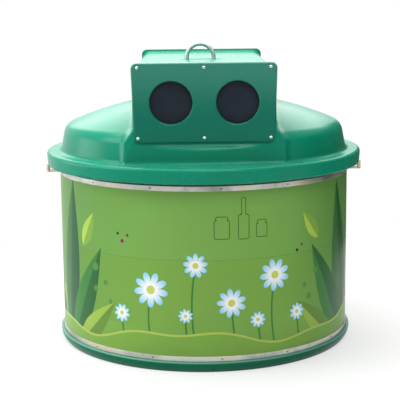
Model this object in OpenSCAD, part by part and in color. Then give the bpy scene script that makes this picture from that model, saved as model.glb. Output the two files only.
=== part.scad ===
// Round bottle bank: a sheet-metal drum on a moulded base skirt, closed by a moulded lid whose hood
// carries two inlet plates. A lifting ring on a central rod opens two half-round drop doors.
// Millimetres. Z is up, the ground is z = 0, the front inlets face -Y and the origin is on the drum axis.

/* [Drum] */
// Outer diameter of the drum
drum_d = 1500; // [1400:10:1600]
// Height of the drum's top edge above the ground
drum_h = 976; // [900:2:1100]
// Thickness of the drum's sheet
sheet_t = 3; // [2:0.5:4]
// Height of the band strip at the top of the print
band_w = 24; // [18:1:30]
// Thickness of a band strip
band_t = 3; // [2:0.5:4]
// Depth of the top band's upper edge under the drum's top edge
band_drop = 78; // [72:1:90]
// Rivets in one band
rivet_count = 14; // [10:1:20]
// Diameter of a rivet's head
rivet_d = 10; // [8:0.5:13]
// Diameter of a rivet's shank
rivet_shank_d = 4.8; // [4:0.2:6]
// Width of the strip that covers the drum's seam
seam_w = 44; // [30:2:60]

/* [Base] */
// Height of the base skirt
skirt_h = 50; // [44:1:60]
// How far the skirt stands out from the drum
skirt_out = 18.6; // [14:0.2:24]
// Thickness of the skirt's foot
foot_t = 8; // [6:0.5:10]
// Width of the foot under the drum and inside it
foot_w = 28; // [22:1:34]
// Thickness of the base ring's angle section
angle_t = 6; // [5:0.5:8]
// Height of the base ring's upright leg
angle_h = 60; // [50:1:80]
// Width of the door seat on the base ring
seat_w = 52; // [40:1:60]
// Thickness of the doors' rubber seal
seal_t = 4; // [3:0.5:6]

/* [Drop doors] */
// Thickness of a door's plate
door_t = 4; // [3:0.5:5]
// Height of a door plate's top above the ground
door_z = 22; // [20:0.5:26]
// Distance from the drum's axis to a hinge shaft
hinge_x = 40; // [38:1:50]
// Diameter of a hinge shaft
shaft_d = 20; // [16:1:22]
// Outer diameter of a door's knuckles
knuckle_d = 28; // [26:1:30]
// Length of a door's lever from the hinge to its pin
lever_r = 80; // [70:1:90]
// Angle that a door drops when it is open
door_angle = 80; // [60:1:84]
// Length of a link between its two pins
link_l = 180; // [175:5:240]
// Diameter of a link's pins
pin_d = 14; // [12:1:16]
// Width of the hinge beam
beam_w = 60; // [50:2:64]
// Height of the hinge beam
beam_h = 80; // [60:2:84]
// Height of the hinge beam's underside
beam_z = 40; // [38:1:44]
// Wall of the hinge beam and of the bridge beam
beam_t = 6; // [4:0.5:8]

/* [Lifting gear] */
// Outer width of the lifting ring
ring_w = 161; // [150:1:170]
// Diameter of the ring's bar
ring_bar_d = 22; // [18:1:24]
// Height of the ring's top above the ground
ring_top = 1532; // [1520:1:1560]
// How far the ring stands to the left of the drum's axis
ring_shift = 12; // [0:1:16]
// Length of the ring's straight legs
ring_leg = 66; // [50:1:75]
// Diameter of the lifting rod
rod_d = 36; // [30:1:40]
// Diameter of the rod's lower guide stub
stub_d = 24; // [18:1:28]
// Outer diameter of the mast tube
mast_d = 60; // [54:1:70]
// Wall of the mast tube
mast_t = 4; // [3:0.5:6]
// Height of the mast tube's lower end
mast_z = 620; // [560:10:700]
// Length of the mast tube
mast_l = 560; // [520:10:600]
// Length of a rod bush
bush_l = 40; // [30:1:60]
// Height of the bridge beam that carries the mast
bridge_h = 50; // [40:1:60]

/* [Lid] */
// Thickness of the lid's moulding
lid_t = 6; // [4:0.5:8]
// Outer radius of the lid's rim beyond the drum's radius
rim_out = 65.5; // [56:0.5:72]
// How far the rim hangs below the drum's top edge
rim_drop = 62; // [45:1:70]
// Thickness of the gasket between drum and lid
gasket_t = 4; // [3:0.5:6]
// How far the dome's wall stands inside the drum's radius, where it meets the flange
wall_in = 8; // [5:1:14]
// Lean of the dome's wall from upright
wall_lean = 10.8; // [8:0.2:14]
// Radius of the dome's shoulder
shoulder_r = 70; // [50:1:90]
// Radius of the dome's crown
crown_r = 1760; // [1500:10:2200]
// Height of the crown's top above the flange
crown_h = 282; // [260:1:300]

/* [Hood] */
// Width of the hood above its shoulders
hood_w = 676; // [640:2:680]
// Width of the hood's foot
hood_foot_w = 760; // [740:2:780]
// Length of the hood from front wall to rear wall
hood_l = 1280; // [1240:2:1300]
// Height of the hood's roof above the ground
roof_z = 1443; // [1430:1:1450]
// Radius of the roof's long edges
roof_r = 48; // [30:1:60]
// How far the hood's lower wall bows out past its ends
apron_bow = 31; // [10:1:40]
// Room round the ring's head in the roof's well
well_play = 8; // [6:1:14]

/* [Inlet plates] */
// Width of an inlet plate at its top
plate_w = 682; // [660:2:684]
// How much narrower the plate is at its bottom
plate_taper = 20; // [0:1:30]
// Height of an inlet plate
plate_h = 374; // [350:1:380]
// Height of the plate's bottom edge above the ground
plate_z = 1089; // [1080:1:1095]
// Depth of the plate's turned edge
plate_depth = 20; // [14:1:24]
// Thickness of the plate's moulding
plate_t = 5; // [4:0.5:6]
// Corner radius of the plate
plate_r = 28; // [20:1:36]
// Diameter of an inlet hole
inlet_d = 200; // [160:5:220]
// Distance between the two inlet holes of a plate
inlet_gap = 312; // [290:2:320]
// Height of the inlet holes' centres above the plate's bottom edge
inlet_up = 189; // [180:1:200]
// Radius of the turned edge round an inlet hole
lip_r = 9; // [5:0.5:12]
// Diameter of the plate screws' shanks
screw_d = 8; // [6:0.5:10]
// Thickness of a rubber flap
flap_t = 4; // [3:0.5:6]
// Diameter of the rod that carries the flaps
flap_rod_d = 10; // [8:1:12]

/* [Lid catches] */
// Diameter of a catch's upright shaft
catch_d = 12; // [10:1:14]
// Length of a catch's handle
catch_arm = 57; // [50:1:70]
// Width of a catch bracket
bracket_w = 46; // [36:1:60]
// Height of the grip on a catch's handle
grip_h = 42; // [20:1:46]

/* [Fits] */
// Radial clearance of a running fit
fit = 0.1; // [0.05:0.01:0.12]
// Clearance between parts that lie close without touching
gap = 0.3; // [0.2:0.05:0.5]
// Room at the open pivot between a link's pin and its slot
slot_play = 2.1; // [1.9:0.1:3]

/* [Hidden] */
$fn = 96;
cut = 1;

// Drum
drum_r = drum_d / 2;
sheet_r = drum_r - sheet_t;
top_band_z = drum_h - band_drop - band_w;
bottom_band_z = skirt_h + 1;
bottom_band_w = band_w + 1;
rivet_step = 360 / rivet_count;
rivet_turn = 5.6;
rivet_h = 2.6;
seam_t = 2.5;
seam_pitch = 100;
seam_angle = 90;

// Base ring and doors
ring_r = sheet_r - angle_t;
seat_z = door_z + gap + seal_t;
seat_r = ring_r - seat_w;
door_r = seat_r + 25;
seal_in = seat_r + 6;
seal_w = 12;
door_edge_x = hinge_x + knuckle_d / 2 + 2;
rib_t = 6;
rib_h = 10;
rib_y = door_r / 2;
beam_r = ring_r - 0.2;
lug_t = 12;
lug_near = 60;
lug_far = floor(sqrt(pow(seat_r, 2) - pow(hinge_x + knuckle_d / 2, 2)) - lug_t / 2 - gap);
lug_y = [-lug_far, -lug_near, lug_near, lug_far];
knuckle_l = 240;
knuckle_near = lug_near + lug_t / 2 + 9 + knuckle_l / 2;
knuckle_far = lug_far - lug_t / 2 - 4 - knuckle_l / 2;
knuckle_y = [-knuckle_far, -knuckle_near, knuckle_near, knuckle_far];
shaft_l = 2 * (lug_far + lug_t / 2 + 1);

// The lever's pin swings from half the door angle above the hinge to the same below it
lever_rise = door_angle / 2;
travel = 2 * lever_r * sin(lever_rise);
pin_x = hinge_x + lever_r * cos(lever_rise);
pin_z = door_z + lever_r * sin(lever_rise);
lever_t = 12;
link_t = 6;
link_gap = 1;
link_eye_r = pin_d / 2 + 9;
slot_in = hinge_x + lever_r * cos(lever_rise);
slot_out = hinge_x + lever_r;
cross_z = pin_z + link_l;
cross_h = 50;
cross_l = 2 * (slot_out + pin_d / 2 + 23);
cross_t = 12;
stub_z = beam_z + beam_h - beam_t - 2;

// Lifting gear
ring_r0 = (ring_w - ring_bar_d) / 2;
ring_centre_z = ring_top - ring_w / 2;
head_z = ring_centre_z - ring_leg;
head_h = 25;
head_w = 2 * ring_bar_d;
head_l = ring_w + 8;
mast_top = mast_z + mast_l;
bridge_w = mast_d + 20;
bridge_top = drum_h - 4 - 0.2;
bridge_z = bridge_top - bridge_h;
index_pin_d = 8;
index_pin_z = 1000;
sleeve_z = index_pin_z - travel - 17;
sleeve_l = travel + 37;
tray_t = 4;
tray_lip = 10;
tray_z = head_z - head_h - travel - tray_lip - 2;
well_l = head_l + 2 * ring_shift + 2 * well_play;
well_w = head_w + 2 * well_play;

// Lid
flange_z = drum_h + gasket_t + lid_t;
wall_r = drum_r - wall_in;
rim_r = drum_r + rim_out;
rim_z = drum_h - rim_drop;
crest_r = 14.5;
edge_r = 8;
crown_z = flange_z + crown_h - crown_r;
top_ring_t = 4;
top_ring_w = 36;
top_ring_h = 40;

// The shoulder's centre lies shoulder_r inside the leaning wall and touches the crown's sphere from within
wall_n = [cos(wall_lean), sin(wall_lean)];
wall_u = [-sin(wall_lean), cos(wall_lean)];
shoulder_p = [wall_r, flange_z] - shoulder_r * wall_n - [0, crown_z];
shoulder_b = shoulder_p * wall_u;
shoulder_c = shoulder_p * shoulder_p - pow(crown_r - shoulder_r, 2);
shoulder_s = -shoulder_b + sqrt(shoulder_b * shoulder_b - shoulder_c);
shoulder_o = shoulder_p + [0, crown_z] + shoulder_s * wall_u;
shoulder_top = atan2(shoulder_o[1] - crown_z, shoulder_o[0]);

// Hood and plates
hood_y = hood_l / 2;
plate_face = hood_y + plate_depth;
plate_top = plate_z + plate_h;
inlet_z = plate_z + inlet_up;
ledge_z = plate_z - 2;
ledge_drop = 24;
shoulder_z = plate_z + 62;
neck_z = plate_z + 110;
flange_in = 4;
flange_t = 8;
screw_x = plate_w / 2 - 30;
screw_low = plate_z + 23;
screw_high = plate_top - 21.5;
screw_head_d = 17;
screw_head_h = 5;
boss_d = 24;
window_edge = 39;
window_w = 2 * screw_x - 26;
window_z = plate_z + window_edge;
window_h = plate_h - 2 * window_edge;
flap_rod_z = inlet_z + inlet_d / 2 + 20;
flap_rod_y = hood_y - 12;
flap_rod_l = window_w - 8;
flap_lug_t = 8;
flap_lug_x = [-flap_rod_l / 2 + flap_lug_t, 0, flap_rod_l / 2 - flap_lug_t];
flap_w = inlet_d + 24;
flap_drop = inlet_d + 38;
flap_sleeve_t = 4;

// Catches
catch_r = drum_r + 22;
catch_z = drum_h - 44;
catch_t = 6;
keeper_t = 4;
keeper_w = 44;
bracket_h = 34;
bracket_t = 6;
bracket_z = drum_h - 102;
handle_z = bracket_z - 14;

function arc(centre, radius, from, to, steps) =
    [for (i = [0 : steps]) centre + radius * [cos(from + (to - from) * i / steps),
                                              sin(from + (to - from) * i / steps)]];

// Ring round the drum's axis with a rectangular section
module ring(outer, inner, height) {
    difference() {
        cylinder(r = outer, h = height);
        translate([0, 0, -cut]) cylinder(r = inner, h = height + 2 * cut);
    }
}

// Turns a child that points along +X to the given angle, where 0 is the front and 90 is the right
module at_angle(angle) rotate([0, 0, angle - 90]) children();

// Dome-headed rivet on a face at the given radius, with its shank reaching through to the drum's inside
module rivet(face_r) {
    cap_r = (pow(rivet_d / 2, 2) + rivet_h * rivet_h) / (2 * rivet_h);
    shank = rivet_shank_d / 2;
    translate([face_r, 0, 0]) rotate([0, 90, 0]) rotate_extrude($fn = 24)
        polygon(concat([[0, sheet_r - face_r], [shank, sheet_r - face_r], [shank, 0]],
            arc([0, rivet_h - cap_r], cap_r, acos(rivet_d / 2 / cap_r), 90, 4)));
}

module rivet_hole() {
    translate([sheet_r - cut, 0, 0]) rotate([0, 90, 0])
        cylinder(d = rivet_shank_d, h = sheet_t + band_t + 2 * cut, $fn = 24);
}

// Places children at each rivet of a band
module each_band_rivet(z) {
    for (i = [0 : rivet_count - 1])
        translate([0, 0, z]) at_angle(rivet_turn + i * rivet_step) children();
}

seam_count = floor((top_band_z - bottom_band_z - bottom_band_w - 40) / seam_pitch);

// Places children at each rivet of the seam strip
module each_seam_rivet() {
    middle = (top_band_z + bottom_band_z + bottom_band_w) / 2;
    for (i = [0 : seam_count])
        translate([0, 0, middle + (i - seam_count / 2) * seam_pitch]) rotate([0, 0, seam_angle]) children();
}

module drum_shell() {
    color("yellowgreen") difference() {
        translate([0, 0, foot_t]) ring(drum_r, sheet_r, drum_h - foot_t);
        each_band_rivet(top_band_z + band_w / 2) rivet_hole();
        each_band_rivet(bottom_band_z + bottom_band_w / 2) rivet_hole();
        each_seam_rivet() rivet_hole();
    }
}

module seam_strip() {
    color("silver") difference() {
        intersection() {
            translate([0, 0, bottom_band_z + bottom_band_w + 1])
                ring(drum_r + seam_t, drum_r, top_band_z - bottom_band_z - bottom_band_w - 2);
            rotate([0, 0, seam_angle]) translate([0, -seam_w / 2, 0]) cube([drum_d, seam_w, drum_h]);
        }
        each_seam_rivet() rivet_hole();
    }
}

module seam_rivets() {
    color("gainsboro") each_seam_rivet() rivet(drum_r + seam_t);
}

module band(z, width) {
    color("silver") difference() {
        translate([0, 0, z]) ring(drum_r + band_t, drum_r, width);
        each_band_rivet(z + width / 2) rivet_hole();
    }
}

module top_band() band(top_band_z, band_w);
module bottom_band() band(bottom_band_z, bottom_band_w);

module top_band_rivets() {
    color("gainsboro") each_band_rivet(top_band_z + band_w / 2) rivet(drum_r + band_t);
}

module bottom_band_rivets() {
    color("gainsboro") each_band_rivet(bottom_band_z + bottom_band_w / 2) rivet(drum_r + band_t);
}

// Moulded ring under and round the drum's foot: flat below, swelling out to a rounded top lip
module base_skirt() {
    lip = 5;
    belly = drum_r + skirt_out;
    tuck = 2 * skirt_h;
    swell = [for (i = [0 : 8]) let (z = (skirt_h - lip) * i / 8)
        [belly - sqrt(tuck * tuck + pow(skirt_h - lip, 2)) + sqrt(tuck * tuck + pow(skirt_h - lip, 2)
            - pow(skirt_h - lip - z, 2)) - (skirt_out - 10) * pow(1 - i / 8, 2), z]];
    color("darkgreen") rotate_extrude()
        polygon(concat(
            [[drum_r - foot_w, 0]],
            swell,
            arc([belly - lip, skirt_h - lip], lip, 0, 90, 5),
            [[drum_r + gap, skirt_h], [drum_r + gap, foot_t], [drum_r - foot_w, foot_t]]));
}

// Angle ring inside the drum's foot: its flat leg is the seat of the doors
module base_ring() {
    color("dimgray") {
        translate([0, 0, foot_t]) ring(sheet_r, ring_r, angle_h);
        translate([0, 0, seat_z]) ring(ring_r + cut, seat_r, angle_t);
    }
}

module door_seal() {
    color("black") translate([0, 0, seat_z - seal_t]) difference() {
        ring(seal_in + seal_w, seal_in, seal_t);
        translate([-door_edge_x - 2, -drum_d, -cut]) cube([2 * (door_edge_x + 2), 2 * drum_d, 2 * seal_t]);
    }
}

// Box beam across the drum with hanger lugs that carry the two hinge shafts
module hinge_beam() {
    lug_r = knuckle_d / 2;
    color("dimgray") difference() {
        union() {
            intersection() {
                translate([-beam_w / 2, -drum_r, beam_z]) cube([beam_w, drum_d, beam_h]);
                cylinder(r = beam_r, h = drum_h);
            }
            for (y = lug_y) translate([0, y + lug_t / 2, 0]) rotate([90, 0, 0]) linear_extrude(lug_t) {
                for (side = [-1, 1]) translate([side * hinge_x, door_z]) circle(r = lug_r, $fn = 48);
                polygon([[-hinge_x, door_z - lug_r], [hinge_x, door_z - lug_r],
                    [hinge_x + lug_r, door_z], [beam_w / 2, beam_z + 20],
                    [-beam_w / 2, beam_z + 20], [-hinge_x - lug_r, door_z]]);
            }
        }
        translate([-beam_w / 2 + beam_t, -drum_d, beam_z + beam_t])
            cube([beam_w - 2 * beam_t, 2 * drum_d, beam_h - 2 * beam_t]);
        for (side = [-1, 1]) translate([side * hinge_x, drum_r, door_z]) rotate([90, 0, 0])
            cylinder(d = shaft_d + 2 * fit, h = drum_d, $fn = 48);
        translate([0, 0, beam_z + beam_h / 2]) cylinder(d = stub_d + 2 * fit, h = beam_h, $fn = 48);
        cylinder(d = stub_d + 2, h = beam_z + beam_h / 2, $fn = 48);
    }
}

module hinge_shaft(side) {
    color("silver") translate([side * hinge_x, shaft_l / 2, door_z]) rotate([90, 0, 0])
        cylinder(d = shaft_d, h = shaft_l, $fn = 48);
}

module hinge_shaft_left() hinge_shaft(-1);
module hinge_shaft_right() hinge_shaft(1);

// Half-round door on the right of the beam: plate, folded edge, ribs below, knuckles and lever
module door(side) {
    skirt_t = 5;
    color("slategray") mirror([side < 0 ? 1 : 0, 0, 0]) difference() {
        union() {
            translate([0, 0, door_z - door_t]) intersection() {
                cylinder(r = door_r, h = door_t);
                translate([door_edge_x, -drum_r, 0]) cube([drum_r, drum_d, door_t]);
            }
            translate([0, 0, door_z - door_t - rib_h]) intersection() {
                ring(door_r, door_r - skirt_t, rib_h + cut);
                translate([door_edge_x, -drum_r, 0]) cube([drum_r, drum_d, rib_h + cut]);
            }
            for (y = [-rib_y, 0, rib_y]) translate([door_edge_x, y - rib_t / 2, door_z - door_t - rib_h])
                cube([sqrt(pow(door_r - skirt_t, 2) - rib_y * rib_y) - door_edge_x, rib_t, rib_h + cut]);
            for (y = knuckle_y) {
                translate([hinge_x, y + knuckle_l / 2, door_z]) rotate([90, 0, 0])
                    cylinder(d = knuckle_d, h = knuckle_l, $fn = 48);
                translate([hinge_x, y - knuckle_l / 2, door_z - door_t])
                    cube([door_edge_x - hinge_x + cut, knuckle_l, door_t]);
            }
            translate([0, lever_t / 2, 0]) rotate([90, 0, 0]) linear_extrude(lever_t) {
                translate([pin_x, pin_z]) circle(r = link_eye_r, $fn = 48);
                polygon([[door_edge_x + 4, door_z - door_t / 2], [door_edge_x + 4, door_z + 14],
                    [pin_x - link_eye_r * cos(30), pin_z + link_eye_r * sin(30) - 3],
                    [pin_x + link_eye_r * cos(25), pin_z + link_eye_r * sin(25) - 3],
                    [pin_x + 70, door_z + 4], [pin_x + 70, door_z - door_t / 2]]);
            }
        }
        translate([hinge_x, drum_r, door_z]) rotate([90, 0, 0])
            cylinder(d = shaft_d + 2 * fit, h = drum_d, $fn = 48);
        translate([pin_x, lever_t, pin_z]) rotate([90, 0, 0])
            cylinder(d = pin_d + 2 * fit, h = 2 * lever_t, $fn = 48);
    }
}

module door_left() door(-1);
module door_right() door(1);

// Pair of flat bars that hang upright between the crosshead and a door's lever
module link(side) {
    color("silver") for (face = [-1, 1])
        translate([side * pin_x, face * (lever_t / 2 + link_gap + link_t / 2) + link_t / 2, pin_z])
            rotate([90, 0, 0]) linear_extrude(link_t) difference() {
                union() {
                    circle(r = link_eye_r, $fn = 48);
                    translate([0, link_l]) circle(r = link_eye_r, $fn = 48);
                    translate([-link_eye_r + 3, 0]) square([2 * link_eye_r - 6, link_l]);
                }
                circle(d = pin_d, $fn = 48);
                translate([0, link_l]) circle(d = pin_d, $fn = 48);
            }
}

module link_pins(side) {
    length = lever_t + 2 * link_gap + 2 * link_t + 6;
    color("gray") for (z = [pin_z, pin_z + link_l])
        translate([side * pin_x, length / 2, z]) rotate([90, 0, 0]) cylinder(d = pin_d, h = length, $fn = 48);
}

module link_left() link(-1);
module link_right() link(1);
module link_left_pins() link_pins(-1);
module link_right_pins() link_pins(1);

// Bar at the rod's foot: the links' top pins run in its two short slots
module crosshead() {
    slot_r = pin_d / 2 + slot_play;
    color("silver") translate([0, cross_t / 2, cross_z]) rotate([90, 0, 0]) linear_extrude(cross_t)
        difference() {
            union() {
                square([cross_l - cross_h, cross_h], center = true);
                for (side = [-1, 1]) translate([side * (cross_l - cross_h) / 2, 0]) circle(d = cross_h);
            }
            for (side = [-1, 1]) {
                translate([side * slot_in, 0]) circle(r = slot_r, $fn = 48);
                translate([side * slot_out, 0]) circle(r = slot_r, $fn = 48);
                translate([side * (slot_in + slot_out) / 2, 0])
                    square([slot_out - slot_in, 2 * slot_r], center = true);
            }
        }
}

// Round rod from the crosshead up to the ring's head
module lift_rod() {
    color("silver") difference() {
        translate([0, 0, cross_z + cross_h / 2]) cylinder(d = rod_d, h = head_z - head_h - cross_z - cross_h / 2);
        translate([0, rod_d, index_pin_z]) rotate([90, 0, 0]) cylinder(d = index_pin_d, h = 2 * rod_d, $fn = 32);
    }
}

// Lower end of the rod, guided in the hinge beam
module guide_stub() {
    color("silver") translate([0, 0, stub_z]) cylinder(d = stub_d, h = cross_z - cross_h / 2 - stub_z);
}

module index_pin() {
    length = mast_d - 2 * mast_t - 4;
    color("gray") translate([0, length / 2, index_pin_z]) rotate([90, 0, 0])
        cylinder(d = index_pin_d, h = length, $fn = 32);
}

// Sleeve in the mast: the rod's cross pin climbs and drops in its two grooves
module index_sleeve() {
    groove = index_pin_d + 1;
    color("peru") translate([0, 0, sleeve_z]) difference() {
        cylinder(d = mast_d - 2 * mast_t, h = sleeve_l);
        translate([0, 0, -cut]) cylinder(d = rod_d + 4, h = sleeve_l + 2 * cut);
        translate([-groove / 2, -mast_d / 2 + mast_t + 1.5, 10])
            cube([groove, mast_d - 2 * mast_t - 3, sleeve_l - 20]);
    }
}

module mast_tube() {
    color("dimgray") translate([0, 0, mast_z]) ring(mast_d / 2, mast_d / 2 - mast_t, mast_l);
}

module rod_bushes() {
    color("wheat") for (z = [mast_z, mast_top - bush_l])
        translate([0, 0, z]) ring(mast_d / 2 - mast_t, rod_d / 2 + fit, bush_l);
}

// Box beam across the drum's top that carries the mast
module bridge_beam() {
    color("dimgray") difference() {
        intersection() {
            translate([-drum_r, -bridge_w / 2, bridge_z]) cube([drum_d, bridge_w, bridge_h]);
            cylinder(r = sheet_r - top_ring_t - 0.2, h = drum_h);
        }
        translate([-drum_d, -bridge_w / 2 + beam_t, bridge_z + beam_t])
            cube([2 * drum_d, bridge_w - 2 * beam_t, bridge_h - 2 * beam_t]);
        translate([0, 0, bridge_z - cut]) cylinder(d = mast_d, h = bridge_h + 2 * cut);
    }
}

// Angle ring inside the drum's top edge: the lid's gasket lies on it
module top_ring() {
    color("dimgray") {
        translate([0, 0, drum_h - top_ring_h]) ring(sheet_r, sheet_r - top_ring_t, top_ring_h);
        translate([0, 0, drum_h - top_ring_t]) ring(sheet_r - top_ring_t + cut, sheet_r - top_ring_w, top_ring_t);
    }
}

// Outline of the roof's well round the ring, grown or drawn in by the given amount
module well_outline(grow) {
    straight = well_l - well_w;
    square([straight, well_w + 2 * grow], center = true);
    for (side = [-1, 1]) translate([side * straight / 2, 0]) circle(r = well_w / 2 + grow, $fn = 64);
}

// Shallow dish on the mast that closes the ring's well from below
module rain_tray() {
    color("darkslategray") difference() {
        union() {
            translate([0, 0, mast_top]) cylinder(d = mast_d - 8, h = tray_z - mast_top + tray_t);
            translate([0, 0, tray_z]) linear_extrude(tray_lip) well_outline(-1);
        }
        translate([0, 0, tray_z + tray_t]) linear_extrude(tray_lip) well_outline(-3);
        translate([0, 0, mast_top - cut]) cylinder(r = rod_d / 2 + fit, h = drum_h);
    }
}

module ring_head() {
    color("silver") translate([-ring_shift, 0, head_z - head_h]) difference() {
        intersection() {
            translate([-head_l / 2, -head_w / 2, 0]) cube([head_l, head_w, head_h]);
            cylinder(d = head_l, h = head_h);
        }
        for (side = [-1, 1]) translate([side * ring_r0, 0, head_h / 2]) cylinder(d = ring_bar_d, h = head_h);
    }
}

module lifting_ring() {
    color("silver") translate([-ring_shift, 0, ring_centre_z]) {
        rotate([90, 0, 0]) rotate_extrude(angle = 180) translate([ring_r0, 0]) circle(d = ring_bar_d, $fn = 48);
        for (side = [-1, 1]) translate([side * ring_r0, 0, -ring_leg - head_h / 2])
            cylinder(d = ring_bar_d, h = ring_leg + head_h / 2, $fn = 48);
    }
}

// Dome's solid of revolution, cut off just inside the hood's end walls; inset draws it in to give its inside
module dome(inset) {
    foot = inset > 0 ? -3 * lid_t : -lid_t;
    lean = [wall_r, flange_z] - inset * wall_n + foot / cos(wall_lean) * wall_u;
    fillet = 12;
    toe = inset > 0 ? [] : arc([wall_r + fillet - 2, flange_z + fillet - 1], fillet, 270, 180, 4);
    intersection() {
        rotate_extrude($fn = 180)
            polygon(concat(
                [[0, flange_z + foot], [lean[0], flange_z + foot]],
                toe,
                arc(shoulder_o, shoulder_r - inset, wall_lean, shoulder_top, 8),
                arc([0, crown_z], crown_r - inset, shoulder_top, 90, 14)));
        translate([-drum_d, inset + 1 - hood_y, 0]) cube([2 * drum_d, hood_l - 2 * inset - 2, 2 * drum_h]);
    }
}

// Flange and hanging rim of the lid
module rim() {
    crest = [rim_r - crest_r, flange_z + 2 - crest_r];
    edge = [rim_r - 3 - edge_r, rim_z + edge_r];
    rotate_extrude($fn = 180)
        polygon(concat(
            [[hood_y - 4 * lid_t, flange_z - lid_t], [hood_y - 4 * lid_t, flange_z]],
            arc(crest, crest_r, 90, 0, 6),
            arc(edge, edge_r, 0, -110, 5),
            arc(edge, edge_r - lid_t + 1, -110, 0, 3),
            arc(crest, crest_r - lid_t, 0, 90, 5)));
}

// Front view of the hood: wide foot, slanting shoulders, upright sides and round roof edges
module hood_section(inset) {
    half = hood_w / 2 - inset;
    foot = hood_foot_w / 2 - inset;
    roof = roof_z - inset;
    r = roof_r - inset;
    low = flange_z - (inset > 0 ? 4 : 1) * lid_t;
    right = concat(
        [[foot, low], [foot, ledge_z + 6], [half + 6, shoulder_z], [half + 2, shoulder_z + 14],
            [half, neck_z]],
        arc([half - r, roof - r], r, 0, 90, 8));
    polygon(concat(right, [for (i = [len(right) - 1 : -1 : 0]) [-right[i][0], right[i][1]]]));
}

// Bowed lower wall of the hood, front and rear, with a sloping ledge along its top
module apron(inset) {
    half = hood_foot_w / 2;
    bow_r = (half * half + apron_bow * apron_bow) / (2 * apron_bow);
    reach = hood_y - 3 + apron_bow;
    low = flange_z - lid_t - 2 * inset;
    slope = ledge_drop / (reach - hood_y);
    intersection() {
        translate([0, 0, low]) linear_extrude(ledge_z - low) intersection() {
            translate([0, bow_r - reach]) circle(r = bow_r - inset, $fn = 360);
            translate([0, reach - bow_r]) circle(r = bow_r - inset, $fn = 360);
            square([hood_foot_w - 2 * inset - 4, drum_d], center = true);
        }
        rotate([90, 0, 90]) linear_extrude(drum_d, center = true)
            polygon([[-drum_r, low - inset - cut], [drum_r, low - inset - cut],
                [drum_r, ledge_z - slope * (drum_r - hood_y) - 1.3 * inset], [hood_y, ledge_z - 1.3 * inset],
                [-hood_y, ledge_z - 1.3 * inset], [-drum_r, ledge_z - slope * (drum_r - hood_y) - 1.3 * inset]]);
    }
}

module lid_body(inset) {
    dome(inset);
    translate([0, hood_y - inset, 0]) rotate([90, 0, 0]) linear_extrude(hood_l - 2 * inset) hood_section(inset);
    apron(inset);
}

// Outline of an inlet plate, drawn in by inset: corners are true arcs and the sides taper
module plate_outline(inset) {
    r = plate_r - inset;
    top = plate_w / 2 - plate_r;
    low = (plate_w - plate_taper) / 2 - plate_r;
    lean = atan((top - low) / (plate_h - 2 * plate_r));
    for (x = [-1, 1]) {
        translate([x * top, plate_top - plate_r]) circle(r = r, $fn = 64);
        translate([x * low, plate_z + plate_r]) circle(r = r, $fn = 64);
    }
    polygon([[top, plate_top - inset], [top + r * cos(lean), plate_top - plate_r - r * sin(lean)],
        [low + r * cos(lean), plate_z + plate_r - r * sin(lean)], [low, plate_z + inset],
        [-low, plate_z + inset], [-low - r * cos(lean), plate_z + plate_r - r * sin(lean)],
        [-top - r * cos(lean), plate_top - plate_r - r * sin(lean)], [-top, plate_top - inset]]);
}

// Slab with the plate's outline whose front face lies at y = -face
module plate_slab(inset, face, depth) {
    translate([0, depth - face, 0]) rotate([90, 0, 0]) linear_extrude(depth) plate_outline(inset);
}

// Places children at the front of the lid, or turned half way round at its rear
module at_end(side) rotate([0, 0, side < 0 ? 0 : 180]) children();

module each_screw() {
    for (x = [-screw_x, 0, screw_x]) for (z = [screw_low, screw_high]) translate([x, 0, z]) children();
}

module lid_shell() {
    color("seagreen") difference() {
        union() {
            difference() {
                union() {
                    lid_body(0);
                    rim();
                    for (side = [-1, 1]) at_end(side) plate_slab(flange_in, hood_y, flange_t);
                }
                lid_body(lid_t);
                for (side = [-1, 1]) at_end(side)
                    translate([-window_w / 2, -hood_y - cut, window_z])
                        cube([window_w, flange_t + lid_t + 2 * cut, window_h]);
            }
            translate([0, 0, tray_z - 4]) linear_extrude(roof_z - lid_t - tray_z + 4 + cut) well_outline(lid_t);
        }
        translate([0, 0, tray_z - 5]) linear_extrude(roof_z) well_outline(0);
        for (side = [-1, 1]) at_end(side) each_screw() translate([0, -hood_y + flange_t + cut, 0])
            rotate([90, 0, 0]) cylinder(d = screw_d + 0.4, h = flange_t + 2 * cut, $fn = 32);
    }
}

module lid_gasket() {
    color("black") translate([0, 0, drum_h]) ring(drum_r - 2, sheet_r - top_ring_w + 4, gasket_t);
}

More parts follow.
